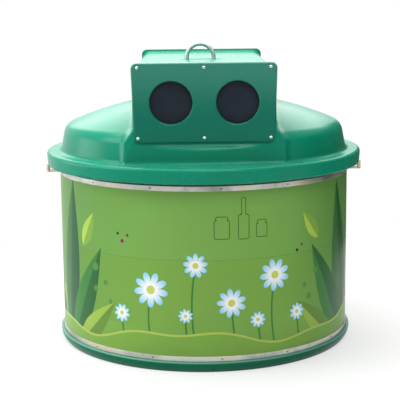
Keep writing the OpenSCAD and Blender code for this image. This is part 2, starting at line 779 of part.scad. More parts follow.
// Tray-shaped moulding with two lipped inlet holes, screw bosses and lugs for the flap rod
module inlet_plate(side) {
    skin = plate_face - plate_t;
    color("teal") at_end(side) difference() {
        union() {
            difference() {
                plate_slab(0, plate_face, plate_depth);
                plate_slab(plate_t, skin, plate_depth);
            }
            for (x = [-inlet_gap / 2, inlet_gap / 2]) translate([x, -hood_y, inlet_z]) rotate([90, 0, 0])
                cylinder(d = inlet_d + 2 * plate_t, h = plate_depth - plate_t + cut);
            each_screw() translate([0, -hood_y, 0]) rotate([90, 0, 0])
                cylinder(d = boss_d, h = plate_depth - plate_t + cut);
            for (x = flap_lug_x) translate([x - flap_lug_t / 2, -skin - cut, flap_rod_z - 9])
                cube([flap_lug_t, skin + cut - flap_rod_y + 9, 18]);
        }
        for (x = [-inlet_gap / 2, inlet_gap / 2]) translate([x, 0, inlet_z]) {
            translate([0, -flap_rod_y, 0]) rotate([90, 0, 0]) cylinder(d = inlet_d, h = plate_depth * 3);
            translate([0, -plate_face - 0.01, 0]) rotate([-90, 0, 0]) rotate_extrude() difference() {
                square([inlet_d / 2 + lip_r, lip_r]);
                translate([inlet_d / 2 + lip_r, lip_r]) circle(r = lip_r, $fn = 48);
            }
        }
        each_screw() rotate([90, 0, 0]) cylinder(d = screw_d + 0.4, h = drum_d, $fn = 32);
        translate([-drum_r, -flap_rod_y, flap_rod_z]) rotate([0, 90, 0])
            cylinder(d = flap_rod_d + 2 * fit, h = drum_d, $fn = 32);
    }
}

module front_plate() inlet_plate(-1);
module rear_plate() inlet_plate(1);

// Dome-headed screws that end in the hood's end flange
module plate_screws(side) {
    cap_r = (pow(screw_head_d / 2, 2) + screw_head_h * screw_head_h) / (2 * screw_head_h);
    color("whitesmoke") at_end(side) each_screw() {
        translate([0, -plate_face, 0]) rotate([90, 0, 0]) rotate_extrude($fn = 48)
            polygon(concat([[0, 0]], arc([0, screw_head_h - cap_r], cap_r, acos(screw_head_d / 2 / cap_r), 90, 5)));
        translate([0, -hood_y + flange_t - 1, 0]) rotate([90, 0, 0])
            cylinder(d = screw_d, h = plate_depth + flange_t - 1, $fn = 32);
    }
}

module front_plate_screws() plate_screws(-1);
module rear_plate_screws() plate_screws(1);

module flap_rod(side) {
    color("silver") at_end(side) translate([-flap_rod_l / 2, -flap_rod_y, flap_rod_z]) rotate([0, 90, 0])
        cylinder(d = flap_rod_d, h = flap_rod_l, $fn = 32);
}

module front_flap_rod() flap_rod(-1);
module rear_flap_rod() flap_rod(1);

// Rubber flap that hangs from the rod behind one inlet hole
module flap(side, x) {
    sleeve_d = flap_rod_d + 2 * fit + 2 * flap_sleeve_t;
    corner = 30;
    color("darkslateblue") at_end(side) translate([x, -flap_rod_y, flap_rod_z]) difference() {
        union() {
            translate([-flap_w / 2, 0, 0]) rotate([0, 90, 0]) cylinder(d = sleeve_d, h = flap_w, $fn = 48);
            translate([0, flap_t / 2, 0]) rotate([90, 0, 0]) linear_extrude(flap_t) {
                translate([-flap_w / 2, -flap_drop + corner]) square([flap_w, flap_drop - corner]);
                translate([-flap_w / 2 + corner, -flap_drop]) square([flap_w - 2 * corner, flap_drop]);
                for (s = [-1, 1]) translate([s * (flap_w / 2 - corner), -flap_drop + corner])
                    circle(r = corner, $fn = 48);
            }
        }
        translate([-flap_w, 0, 0]) rotate([0, 90, 0]) cylinder(d = flap_rod_d + 2 * fit, h = 2 * flap_w, $fn = 48);
    }
}

module flap_front_left() flap(-1, -inlet_gap / 2);
module flap_front_right() flap(-1, inlet_gap / 2);
module flap_rear_left() flap(1, inlet_gap / 2);
module flap_rear_right() flap(1, -inlet_gap / 2);

// Folded bracket on the drum's side with two bored ears for the catch shaft
module catch_bracket(side) {
    nose = catch_r + 14;
    color("silver") mirror([side < 0 ? 1 : 0, 0, 0]) difference() {
        union() {
            for (z = [bracket_z, bracket_z + bracket_h - bracket_t])
                translate([drum_r - 10, -bracket_w / 2, z]) cube([nose - drum_r + 10, bracket_w, bracket_t]);
            translate([drum_r - 10, -bracket_w / 2, bracket_z]) cube([10 + bracket_t, bracket_w, bracket_h]);
        }
        translate([0, 0, bracket_z - cut]) cylinder(r = drum_r + band_t, h = bracket_h + 2 * cut, $fn = 180);
        translate([catch_r, 0, 0]) cylinder(d = catch_d + 2 * fit, h = drum_h, $fn = 48);
    }
}

module catch_bracket_left() catch_bracket(-1);
module catch_bracket_right() catch_bracket(1);

// Turning catch: shaft, tongue under the rim, and an arm with an upright grip that points outwards when open
module lid_catch(side) {
    tongue_w = 14;
    arm_t = 12;
    grip_d = 20;
    color("rosybrown") mirror([side < 0 ? 1 : 0, 0, 0]) translate([catch_r, 0, 0]) {
        translate([0, 0, handle_z]) cylinder(d = catch_d, h = catch_z + catch_t - handle_z, $fn = 48);
        translate([0, 0, catch_z]) {
            cylinder(d = catch_d + 6, h = catch_t, $fn = 48);
            translate([-tongue_w / 2, 0, 0]) cube([tongue_w, 27, catch_t]);
        }
        translate([0, 0, handle_z]) {
            cylinder(d = catch_d + 10, h = arm_t, $fn = 48);
            translate([0, -tongue_w / 2, 0]) cube([catch_arm - grip_d / 2, tongue_w, arm_t]);
            translate([catch_arm - grip_d / 2, 0, 0]) cylinder(d = grip_d, h = grip_h, $fn = 48);
        }
    }
}

module catch_left() lid_catch(-1);
module catch_right() lid_catch(1);

// Angle inside the lid's rim that a turned catch holds down; its leg is dressed to the rim's inner face
module keeper(side) {
    inner = catch_r + 12;
    low = catch_z - gap - keeper_t;
    top = low + 26;
    edge_z = rim_z + edge_r;
    edge_x = rim_r - 3 - edge_r;
    outer = edge_x + edge_r - lid_t;
    lean = (rim_r - lid_t - outer) / (flange_z + 2 - crest_r - edge_z);
    step = low < edge_z ? [[edge_x - 1, low], [edge_x - 1, edge_z], [outer, edge_z]]
        : [[outer + lean * (low - edge_z), low]];
    color("silver") mirror([side < 0 ? 1 : 0, 0, 0]) intersection() {
        union() {
            translate([inner, -keeper_w / 2, low]) cube([edge_x - inner, keeper_w, keeper_t]);
            translate([edge_x - keeper_t, -keeper_w / 2, low]) cube([rim_out, keeper_w, top - low]);
        }
        rotate_extrude($fn = 180)
            polygon(concat([[drum_r, low]], step, [[outer + lean * (top - edge_z), top], [drum_r, top]]));
    }
}

module keeper_left() keeper(-1);
module keeper_right() keeper(1);

drum_shell();
seam_strip();
seam_rivets();
top_band();
top_band_rivets();
bottom_band();
bottom_band_rivets();
base_skirt();
base_ring();
hinge_beam();
hinge_shaft_left();
hinge_shaft_right();
door_seal();
top_ring();
bridge_beam();
mast_tube();
rod_bushes();
index_sleeve();
rain_tray();
catch_bracket_left();
catch_bracket_right();
lifting_ring();
ring_head();
lift_rod();
guide_stub();
index_pin();
crosshead();
door_left();
door_right();
link_left();
link_left_pins();
link_right();
link_right_pins();
lid_shell();
lid_gasket();
front_plate();
rear_plate();
front_plate_screws();
rear_plate_screws();
front_flap_rod();
rear_flap_rod();
keeper_left();
keeper_right();
flap_front_left();
flap_front_right();
flap_rear_left();
flap_rear_right();
catch_left();
catch_right();
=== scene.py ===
"""Looks of a round bottle bank: a sheet-metal drum with a printed film, a moulded base skirt and a moulded
lid whose hood carries two inlet plates. Metres, Z up, the front faces -Y."""
import math

import bmesh
import bpy
import numpy as np
from mathutils import Matrix, Vector
from mathutils.geometry import tessellate_polygon


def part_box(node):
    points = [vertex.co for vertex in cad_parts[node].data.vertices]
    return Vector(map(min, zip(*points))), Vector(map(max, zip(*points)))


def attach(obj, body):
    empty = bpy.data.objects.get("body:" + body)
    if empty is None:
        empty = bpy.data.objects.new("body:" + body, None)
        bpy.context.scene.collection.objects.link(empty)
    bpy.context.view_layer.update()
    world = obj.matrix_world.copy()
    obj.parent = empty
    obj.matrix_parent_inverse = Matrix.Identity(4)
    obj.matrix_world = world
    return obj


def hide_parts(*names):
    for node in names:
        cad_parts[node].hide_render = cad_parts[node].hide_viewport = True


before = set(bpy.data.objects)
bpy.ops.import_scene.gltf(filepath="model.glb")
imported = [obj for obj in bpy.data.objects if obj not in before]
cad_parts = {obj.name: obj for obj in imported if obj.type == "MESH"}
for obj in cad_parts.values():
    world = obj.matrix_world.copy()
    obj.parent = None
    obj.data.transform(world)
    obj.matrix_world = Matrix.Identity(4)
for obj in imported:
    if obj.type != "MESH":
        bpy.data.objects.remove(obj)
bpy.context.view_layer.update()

# Drum wall
# A steel sheet 3 mm thick, rolled round and joined at the rear, with a printed and laminated vinyl film on
# its outside. It is drawn flat, as the sheet is cut, and then rolled, so the print keeps its real size.
DRUM_R = 0.750
DRUM_FOOT = 0.008
DRUM_TOP = 0.976
SHEET_T = 0.003
SHEET_EDGE = 0.0006
HALF_ROUND = math.pi * DRUM_R
FILM_JOINT = 0.545
# Above this height the sheet is drawn dark: painted shade under the lid's rim
RIM_SHADE_LOW = 0.8975


def linear(code):
    """Linear colour from an sRGB hex code."""
    parts = [int(code[i:i + 2], 16) / 255 for i in (1, 3, 5)]
    return (*[c / 12.92 if c <= 0.04045 else ((c + 0.055) / 1.055) ** 2.4 for c in parts], 1.0)


def give(tree, node, inputs):
    """Gives inputs, by name or in order, a value, another node's output, or a node for its first output."""
    for key, value in (inputs.items() if isinstance(inputs, dict) else enumerate(inputs)):
        value = value.outputs[0] if isinstance(value, bpy.types.Node) else value
        if isinstance(value, bpy.types.NodeSocket):
            tree.links.new(value, node.inputs[key])
        else:
            node.inputs[key].default_value = value


def add(tree, kind, inputs=(), **settings):
    """One node with its settings and links; a shader node's kind is written without ShaderNode."""
    node = tree.nodes.new(kind if "Node" in kind else "ShaderNode" + kind)
    for key, value in settings.items():
        setattr(node, key, value)
    give(tree, node, inputs)
    return node


def start_material(name, **sockets):
    """A material with plain values on its shader; an underscore stands for a space."""
    material = bpy.data.materials.new(name)
    material.use_nodes = True
    tree = material.node_tree
    shader = tree.nodes["Principled BSDF"]
    give(tree, shader, {key.replace("_", " "): value for key, value in sockets.items()})
    return material, tree, shader


def make_piece(name, points, faces, material=None, smooth=True):
    mesh = bpy.data.meshes.new(name)
    mesh.from_pydata([tuple(p) for p in points], [], [tuple(int(i) for i in f) for f in faces])
    if material:
        mesh.materials.append(material)
    mesh.polygons.foreach_set("use_smooth", [smooth] * len(mesh.polygons))
    mesh.update()
    piece = bpy.data.objects.new(name, mesh)
    bpy.context.collection.objects.link(piece)
    return piece


def weld(piece, reach=1e-5):
    """Joins doubled points and turns every face outwards."""
    work = bmesh.new()
    work.from_mesh(piece.data)
    bmesh.ops.remove_doubles(work, verts=work.verts, dist=reach)
    bmesh.ops.recalc_face_normals(work, faces=work.faces)
    work.to_mesh(piece.data)
    work.free()
    piece.data.update()


def bake_modifiers(piece):
    """Turns the evaluated result into the piece's own plain mesh."""
    graph = bpy.context.evaluated_depsgraph_get()
    graph.update()
    made = bpy.data.meshes.new_from_object(piece.evaluated_get(graph), depsgraph=graph)
    piece.modifiers.clear()
    piece.data = made


def settle(piece, body, slot, *replaced):
    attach(piece, body)
    if replaced:
        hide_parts(*replaced)


def strips(points, faces, loops, ring=False):
    """Adds closed loops of points, joined one to the next, and the last to the first in a ring; returns the
    index of the first loop."""
    first, size = len(points), len(loops[0])
    for loop in loops:
        points += loop
    for k in range(len(loops) if ring else len(loops) - 1):
        a, b = first + k * size, first + (k + 1) % len(loops) * size
        faces += [(a + i, a + (i + 1) % size, b + (i + 1) % size, b + i) for i in range(size)]
    return first


def strip_section(outer, inner, low, high, outer_edge, inner_edge, steps=3, support=0.0006):
    """Cross-section of a strip as (depth, height) points. Its edges are rounded, and a point beside each arc
    lets the flats shade flat."""
    corners = ((outer, low, outer_edge), (outer, high, outer_edge), (inner, high, inner_edge),
               (inner, low, inner_edge))
    out = []
    for i, (depth, height, radius) in enumerate(corners):
        here = np.array((depth, height))
        before = np.array(corners[i - 1][:2]) - here
        after = np.array(corners[(i + 1) % 4][:2]) - here
        before, after = before / np.linalg.norm(before), after / np.linalg.norm(after)
        half = math.acos(max(-1, min(1, float(before @ after)))) / 2
        reach = radius / math.tan(half)
        centre = here + (before + after) / np.linalg.norm(before + after) * radius / math.sin(half)
        first, last = here + before * reach, here + after * reach
        out.append(first + before * support)
        for k in range(steps + 1):
            ray = (first - centre) * (steps - k) + (last - centre) * k
            out.append(centre + ray / np.linalg.norm(ray) * radius)
        out.append(last + after * support)
    return out


def start_tree(name, inputs, output):
    """A node tree for geometry with its named inputs and one output; also gives the inputs."""
    tree = bpy.data.node_groups.new(name, "GeometryNodeTree")
    for label, kind in inputs:
        tree.interface.new_socket(label, in_out="INPUT", socket_type="NodeSocket" + kind)
    tree.interface.new_socket(output, in_out="OUTPUT", socket_type="NodeSocketGeometry")
    return tree, add(tree, "NodeGroupInput").outputs


def end_tree(tree, geometry, finish):
    """Makes instances real, sets the material and gives the result out."""
    real = add(tree, "GeometryNodeRealizeInstances", {"Geometry": geometry})
    done = add(tree, "GeometryNodeSetMaterial", {"Geometry": real, "Material": finish})
    add(tree, "NodeGroupOutput", (done,))
    return tree


def run_tree(piece, tree, **inputs):
    """Runs a tree on a piece and keeps the result; an underscore stands for a space in an input's name."""
    modifier = piece.modifiers.new(tree.name, "NODES")
    modifier.node_group = tree
    for socket in tree.interface.items_tree:
        key = socket.name.replace(" ", "_")
        if socket.in_out == "INPUT" and key in inputs:
            modifier[socket.identifier] = inputs[key]
    bake_modifiers(piece)


def roll_tree():
    """Bends a flat strip round the drum: X runs along the sheet, Y is the depth under its outer face."""
    tree, given = start_tree("roll sheet round drum", (("Sheet", "Geometry"), ("Radius", "Float"),
                                                       ("Finish", "Material")), "Rolled")
    flat = add(tree, "SeparateXYZ", (add(tree, "GeometryNodeInputPosition"),))
    angle = add(tree, "Math", (flat, given["Radius"]), operation="DIVIDE")
    radius = add(tree, "Math", (given["Radius"], flat.outputs[1]), operation="SUBTRACT")
    sine = add(tree, "Math", (angle,), operation="SINE")
    cosine = add(tree, "Math", (angle,), operation="COSINE")
    front = add(tree, "Math", (radius, -1.0), operation="MULTIPLY")
    x = add(tree, "Math", (radius, sine), operation="MULTIPLY")
    y = add(tree, "Math", (front, cosine), operation="MULTIPLY")
    bent = add(tree, "CombineXYZ", (x, y, flat.outputs[2]))
    moved = add(tree, "GeometryNodeSetPosition", {"Geometry": given["Sheet"], "Position": bent})
    return end_tree(tree, moved, given["Finish"])


ROLL = roll_tree()


def rolled_strip(name, section, count, material, start=-HALF_ROUND, end=HALF_ROUND):
    """A section of (depth, height) points drawn out along the sheet in count steps and rolled. Its UV map is
    the flat sheet in metres."""
    points, faces, size = [], [], len(section)
    strips(points, faces, [[(x, p[0], p[1]) for p in section] for x in np.linspace(start, end, count + 1)])
    if end - start < 2 * HALF_ROUND:
        faces += [tuple(range(size))[::-1], tuple(range(count * size, len(points)))]
    piece = make_piece(name, points, faces, material)
    layer = piece.data.uv_layers.new(name="sheet")
    for loop in piece.data.loops:
        point = points[loop.vertex_index]
        layer.data[loop.index].uv = (point[0], point[2])
    run_tree(piece, ROLL, Radius=DRUM_R, Finish=material)
    weld(piece)
    return piece


def set_stops(node, stops):
    """Gives a colour ramp its stops, each a place and a hex colour."""
    elements = node.color_ramp.elements
    for i, (at, code) in enumerate(stops):
        stop = elements[i] if i < 2 else elements.new(at)
        stop.position, stop.color = at, linear(code)


# The film is gloss-laminated vinyl: a saturated print under a clear layer that takes soft highlights, with
# the faint waviness of a sheet smoothed on by hand. The print is a plain meadow, alike on the front and the
# rear half.
def printed_film():
    material, tree, shader = start_material("laminated print vinyl", Roughness=0.34, IOR=1.46,
                                            Specular_IOR_Level=0.2)
    sheet = add(tree, "UVMap", uv_map="sheet")
    flat = add(tree, "SeparateXYZ", (sheet,))
    height = flat.outputs[1]
    along = add(tree, "Math", (flat, HALF_ROUND / 2, -HALF_ROUND / 2), operation="WRAP")
    ground = add(tree, "ValToRGB", (height,))
    set_stops(ground, ((0.05, "#7ca84d"), (0.45, "#76a44d"), (0.56, "#75a54d"), (0.98, "#74a34e")))
    layers = [ground.outputs[0]]

    def ink(mask, tint, share=1.0):
        """Prints a tint over what is there, where the mask is 1."""
        if share < 1.0:
            mask = add(tree, "Math", (mask, share), operation="MULTIPLY")
        over = linear(tint) if isinstance(tint, str) else tint
        layers.append(add(tree, "Mix", {0: mask, 6: layers[-1], 7: over}, data_type="RGBA").outputs[2])

    def local(x, z, long, wide, angle=0.0):
        """Coordinates about one motif, 1 at its size along and across its own direction."""
        c, s = math.cos(math.radians(angle)), math.sin(math.radians(angle))
        pair = []
        for by_along, by_height, shift in ((c / long, s / long, -(x * c + z * s) / long),
                                           (-s / wide, c / wide, (x * s - z * c) / wide)):
            part = add(tree, "Math", (height, by_height, shift), operation="MULTIPLY_ADD")
            pair.append(add(tree, "Math", (along, by_along, part), operation="MULTIPLY_ADD"))
        return pair

    def squares(u, v):
        """Squared distance from the motif's middle."""
        return add(tree, "Math", (v, v, add(tree, "Math", (u, u), operation="MULTIPLY")),
                   operation="MULTIPLY_ADD")

    def hill(level, waves):
        """1 below a rolling line; each wave is (height, number in half a turn, start)."""
        line = level
        for size, number, start in waves:
            phase = add(tree, "Math", (along, 2 * number / DRUM_R, start), operation="MULTIPLY_ADD")
            wave = add(tree, "Math", (phase,), operation="SINE")
            line = add(tree, "Math", (wave, size, line), operation="MULTIPLY_ADD")
        return add(tree, "Math", (line, height), operation="GREATER_THAN")

    # Two widths of film meet at the joint, and the lower one is printed a shade yellower
    ink(add(tree, "Math", (height, FILM_JOINT), operation="LESS_THAN"), "#759b24", 0.25)

    # Painted shade at the drum's sides: the print darkens towards both ends of each half
    off_middle = add(tree, "Math", (along,), operation="ABSOLUTE")
    ink(add(tree, "MapRange", {"Value": off_middle, "From Min": 0.22, "From Max": 0.95, "To Max": 0.5},
            interpolation_type="SMOOTHSTEP"), "#2c6a2e")

    # Far hills, then tall pointed leaves in pairs at the sides, each dark with its upper half lighter. A
    # leaf is its foot along and up, its length, its half width and its lean in degrees.
    ink(hill(0.250, ((0.050, 2, 0.9), (0.020, 5, 1.0))), "#76a248")
    for dark, light, *leaves in (
            ("#17492a", "#235c2c", (-1.08, 0.04, 0.62, 0.090, 96), (1.10, 0.04, 0.66, 0.090, 82)),
            ("#1b502b", "#2a662f", (-0.94, 0.04, 0.46, 0.075, 126), (0.96, 0.04, 0.50, 0.080, 58)),
            ("#1d552c", "#2d6b31", (-0.88, 0.03, 0.86, 0.095, 84), (0.90, 0.03, 0.84, 0.100, 97)),
            ("#25612f", "#387a36", (-0.82, 0.03, 0.60, 0.080, 64), (0.86, 0.03, 0.62, 0.085, 118)),
            ("#628a36", "#93b447", (-0.76, 0.03, 0.40, 0.060, 44), (0.78, 0.03, 0.42, 0.058, 138)),
            ("#7ba23e", "#a4c24c", (-0.70, 0.56, 0.20, 0.040, 62), (0.62, 0.60, 0.18, 0.036, 128))):
        for leaf in leaves:
            u, v = local(*leaf)
            inside = add(tree, "Math", (u, 1.0), operation="MULTIPLY", use_clamp=True)
            early = add(tree, "Math", (inside, 0.8), operation="POWER")
            phase = add(tree, "Math", (early, math.pi), operation="MULTIPLY")
            swell = add(tree, "Math", (phase,), operation="SINE")
            off_rib = add(tree, "Math", (v,), operation="ABSOLUTE")
            whole = add(tree, "Math", (swell, off_rib), operation="GREATER_THAN")
            ink(whole, dark)
            upper = add(tree, "Math", (v, 0.05), operation="GREATER_THAN")
            ink(add(tree, "Math", (whole, upper), operation="MULTIPLY"), light)

    # Dark dots and small berries between the leaves, each (along, up, radius)
    for tint, *dots in (("#4f8840", (-0.60, 0.47, 0.020), (-0.53, 0.40, 0.014), (-0.60, 0.36, 0.016),
                         (-0.50, 0.31, 0.011), (0.60, 0.44, 0.018), (0.52, 0.38, 0.013), (0.55, 0.32, 0.016)),
                        ("#7a1555", (-0.42, 0.62, 0.009), (-0.39, 0.65, 0.007), (0.50, 0.585, 0.007)),
                        ("#1a2238", (-0.445, 0.655, 0.007), (0.47, 0.56, 0.008))):
        for x, z, size in dots:
            ink(add(tree, "Math", (squares(*local(x, z, size, size)), 1.0), operation="LESS_THAN"), tint)

    # Daisies on thin swaying stems: petals white within and pale blue towards their tips. Each is the
    # flower's place along and up, its radius and the bend of its stem.
    sway_reach, stem_half = 0.04, 0.0045
    daisies = ((-0.27, 0.395, 0.088, 6.1), (-0.05, 0.520, 0.060, 5.0), (0.12, 0.335, 0.072, 4.2),
               (0.34, 0.455, 0.080, 5.6), (-0.43, 0.265, 0.046, 5.2), (0.25, 0.245, 0.040, 4.4),
               (-0.10, 0.275, 0.036, 6.0), (0.47, 0.255, 0.044, 5.4))
    for x, z, size, bend in daisies:
        phase = add(tree, "Math", (height, bend), operation="MULTIPLY")
        wave = add(tree, "Math", (phase,), operation="SINE")
        sway = add(tree, "Math", (wave, sway_reach, -x - sway_reach * math.sin(bend * z)),
                   operation="MULTIPLY_ADD")
        off_stem = add(tree, "Math", (along, sway), operation="ADD")
        apart = add(tree, "Math", (off_stem,), operation="ABSOLUTE")
        beside = add(tree, "Math", (apart, stem_half), operation="LESS_THAN")
        under = add(tree, "Math", (height, z), operation="LESS_THAN")
        ink(add(tree, "Math", (beside, under), operation="MULTIPLY"), "#3c7a3a")
    for x, z, size, bend in daisies:
        u, v = local(x, z, size, size, 90 * bend)
        reach = add(tree, "Math", (squares(u, v),), operation="SQRT")
        turn = add(tree, "Math", (v, u), operation="ARCTAN2")
        nine = add(tree, "Math", (turn, 9 / 2), operation="MULTIPLY")
        fold = add(tree, "Math", (add(tree, "Math", (nine,), operation="COSINE"),), operation="ABSOLUTE")
        blunt = add(tree, "Math", (fold, 0.6), operation="POWER")
        tip = add(tree, "Math", (blunt, 0.62, 0.38), operation="MULTIPLY_ADD")
        petal = add(tree, "ValToRGB", (reach,))
        set_stops(petal, ((0.35, "#eef0f4"), (0.98, "#79c8ec")))
        ink(add(tree, "Math", (reach, tip), operation="LESS_THAN"), petal)
        ink(add(tree, "Math", (reach, 0.24), operation="LESS_THAN"), "#c3cf5e")

    # Near hills with a pale crest
    near_hill = ((0.030, 2, 2.2), (0.014, 5, 0.3))
    ink(hill(0.166, near_hill), "#a8bf55")
    ink(hill(0.155, near_hill), "#79a643")

    # Thin line drawings of a plain bottle and two jars, 3.2 mm wide. Each is the sum of round-cornered boxes,
    # given as (up, half width, half height) over its own place along and up.
    corner, melt, line_half = 0.008, 0.012, 0.0016
    for x, z, *boxes in ((0.075, 0.690, (0.0, 0.036, 0.044), (0.053, 0.028, 0.009)),
                         (0.180, 0.715, (-0.014, 0.026, 0.058), (0.080, 0.010, 0.046)),
                         (0.270, 0.680, (0.0, 0.027, 0.032), (0.041, 0.022, 0.009))):
        shape = None
        for up, half_w, half_h in boxes:
            past = []
            for axis, middle, half in ((along, x, half_w), (height, z + up, half_h)):
                apart = add(tree, "Math", (axis, middle), operation="SUBTRACT")
                apart = add(tree, "Math", (apart,), operation="ABSOLUTE")
                past.append(add(tree, "Math", (apart, half - corner), operation="SUBTRACT"))
            outside = [add(tree, "Math", (side, 0.0), operation="MAXIMUM") for side in past]
            far = add(tree, "Math", (squares(outside[1], outside[0]),), operation="SQRT")
            deepest = add(tree, "Math", past, operation="MAXIMUM")
            box = add(tree, "Math", (far, add(tree, "Math", (deepest, 0.0), operation="MINIMUM")),
                      operation="ADD")
            shape = add(tree, "Math", (shape, box, melt), operation="SMOOTH_MIN") if shape else box
        apart = add(tree, "Math", (add(tree, "Math", (shape, corner), operation="SUBTRACT"),),
                    operation="ABSOLUTE")
        ink(add(tree, "Math", (apart, line_half), operation="LESS_THAN"), "#1f3c1d", 0.95)

    # Joints between widths of film, the grey haze of road dirt near the ground, and painted shade under the
    # lid's rim
    joint_half, dirt_top = 0.0011, 0.2
    for axis, at in ((height, FILM_JOINT), (along, -0.86), (along, 0.97)):
        off_joint = add(tree, "Math", (axis, at), operation="SUBTRACT")
        apart = add(tree, "Math", (off_joint,), operation="ABSOLUTE")
        ink(add(tree, "Math", (apart, joint_half), operation="LESS_THAN"), "#4c6f35", 0.45)
    cloud = add(tree, "TexNoise", {"Vector": sheet, "Scale": 6.0, "Detail": 6.0})
    climb = add(tree, "Math", (height, 1 / dirt_top), operation="MULTIPLY")
    low = add(tree, "Math", (1.0, climb), operation="SUBTRACT", use_clamp=True)
    ink(add(tree, "Math", (low, cloud), operation="MULTIPLY"), "#5c6446", 0.45)
    # Painted shade: the sheet above the top band is dark, as the lid's rim shades it
    ink(add(tree, "Math", (height, RIM_SHADE_LOW), operation="GREATER_THAN"), "#1f4a3a")

    # Waves about 110 mm long from hand smoothing, and the fine 4 mm orange peel of the laminate
    place = add(tree, "TexCoord").outputs["Object"]
    wave = add(tree, "TexNoise", {"Vector": place, "Scale": 9.0, "Detail": 1.0})
    peel = add(tree, "TexNoise", {"Vector": place, "Scale": 240.0, "Detail": 2.0})
    relief = add(tree, "Math", (wave, 6.0, peel), operation="MULTIPLY_ADD")
    give(tree, shader, {
        "Base Color": layers[-1],
        "Normal": add(tree, "Bump", {"Height": relief, "Strength": 0.25, "Distance": 0.0006}),
        "Roughness": add(tree, "Math", (cloud, 0.16, 0.26), operation="MULTIPLY_ADD")})
    return material


# Hot-dip galvanised steel: grey, half matt, with zinc crystals 8 to 20 mm across that differ a little in
# brightness, and dull white bloom in places
def galvanised(name, pale, dark, roughness, crystal=0.014):
    material, tree, shader = start_material(name, Metallic=0.75, Roughness=roughness)
    place = add(tree, "TexCoord").outputs["Object"]
    cells = add(tree, "TexVoronoi", {"Vector": place, "Scale": 1 / crystal})
    grain = add(tree, "SeparateColor", (cells.outputs["Color"],))
    bloom = add(tree, "TexNoise", {"Vector": place, "Scale": 7.0, "Detail": 5.0})
    blend = add(tree, "Math", (grain, 0.55, bloom), operation="MULTIPLY_ADD", use_clamp=True)
    tone = add(tree, "Mix", {0: blend, 6: linear(dark), 7: linear(pale)}, data_type="RGBA")
    give(tree, shader, {
        "Base Color": tone.outputs[2],
        "Roughness": add(tree, "Math", (grain.outputs[1], 0.14, roughness - 0.07), operation="MULTIPLY_ADD"),
        "Normal": add(tree, "Bump", {"Height": bloom, "Strength": 0.3, "Distance": 0.0008})})
    return material


zinc = galvanised("galvanised steel", "#b3bbb8", "#7f8886", 0.42)
drum_wall = rolled_strip("drum_wall", strip_section(0.0, SHEET_T, DRUM_FOOT, DRUM_TOP, SHEET_EDGE, SHEET_EDGE,
                                                    steps=2), 360, printed_film())
drum_wall.data.materials.append(zinc)
for face in drum_wall.data.polygons:
    face.material_index = 1 if math.hypot(face.center.x, face.center.y) < DRUM_R - SHEET_T * 2 / 3 else 0
settle(drum_wall, "drum", "drum_print", "drum_shell")

# Bands round the drum
# Two strips of mill-finish aluminium, 24 and 25 mm wide, that hold down the film's edges. They are rolled
# round the drum, butted at the rear and fixed with 14 blind rivets each.
BAND_T = 0.003
BAND_HEM = 0.001
BAND_ARRIS = 0.0004
TOP_BAND = (0.874, 0.898)
BOTTOM_BAND = (0.051, 0.076)


# Mill-finish aluminium: pale grey, dulled and stained outdoors, with faint lines along the rolling direction.
# The real lines are finer than a hair; they are drawn a third of a metre long and 1.1 mm apart, so they show.
def band_aluminium():
    material, tree, shader = start_material("mill-finish aluminium", Metallic=0.85, Roughness=0.36)
    sheet = add(tree, "UVMap", uv_map="sheet")
    drawn = add(tree, "Mapping", {"Vector": sheet, "Scale": (3.0, 900.0, 1.0)})
    lines = add(tree, "TexNoise", {"Vector": drawn, "Scale": 1.0, "Detail": 3.0})
    place = add(tree, "TexCoord").outputs["Object"]
    stain = add(tree, "TexNoise", {"Vector": place, "Scale": 5.0, "Detail": 8.0, "Roughness": 0.65})
    tone = add(tree, "ValToRGB", (stain,))
    set_stops(tone, ((0.32, "#8d8f86"), (0.52, "#c3c6be"), (0.68, "#cdbba6")))
    give(tree, shader, {
        "Base Color": tone,
        "Roughness": add(tree, "Math", (lines, 0.25, 0.26), operation="MULTIPLY_ADD"),
        "Normal": add(tree, "Bump", {"Height": lines, "Strength": 0.35, "Distance": 0.0003})})
    return material


aluminium = band_aluminium()
for band, (low, high) in (("top_band", TOP_BAND), ("bottom_band", BOTTOM_BAND)):
    strip = rolled_strip(band + "_strip", strip_section(-BAND_T, 0.0, low, high, BAND_HEM, BAND_ARRIS), 288,
                         aluminium)
    settle(strip, "drum", "band_aluminium", band)

# Cover strip over the drum's seam at the rear, of the same aluminium, riveted every 100 mm
SEAM_W = 0.044
SEAM_T = 0.0025
seam_low, seam_high = [corner[2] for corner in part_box("seam_strip")]
seam_cover = rolled_strip("seam_cover", strip_section(-SEAM_T, 0.0, seam_low, seam_high, BAND_HEM, BAND_ARRIS,
                                                      support=0.0005), 12, aluminium,
                          HALF_ROUND - SEAM_W / 2, HALF_ROUND + SEAM_W / 2)
settle(seam_cover, "drum", "band_aluminium", "seam_strip")

# Rivets
# Dome-headed aluminium blind rivets, 10 mm across the head, each with the small pit that its pulled-off steel
# pin leaves. One head is turned from its profile, and the same rule sets it round a band or up the seam.
RIVET_R = 0.005
RIVET_H = 0.0026
RIVET_PITCH = 0.100
RIVETS_ROUND = 14
FIRST_RIVET = math.radians(5.6 - 90.0)


def domed_head(name, radius, height, mouth, floor, floor_z, sunk, steps, count, material):
    """A head turned about the X axis: from its closed foot over a dome to a hole of given mouth and floor."""
    ball = (radius ** 2 + height ** 2) / (2 * height)
    line = [(-sunk, radius)]
    line += [(height - ball + ball * math.cos(t), ball * math.sin(t))
             for t in np.linspace(math.asin(radius / ball), math.asin(mouth / ball), steps)]
    line.append((floor_z, floor))
    angles = [2 * math.pi * i / count for i in range(count)]
    points, faces = [], [tuple(range(count))[::-1]]
    strips(points, faces, [[(reach, r * math.cos(t), r * math.sin(t)) for t in angles] for reach, r in line])
    pole, last = len(points), len(points) - count
    points.append((floor_z, 0.0, 0.0))
    faces += [(pole, last + i, last + (i + 1) % count) for i in range(count)]
    return make_piece(name, points, faces, material)


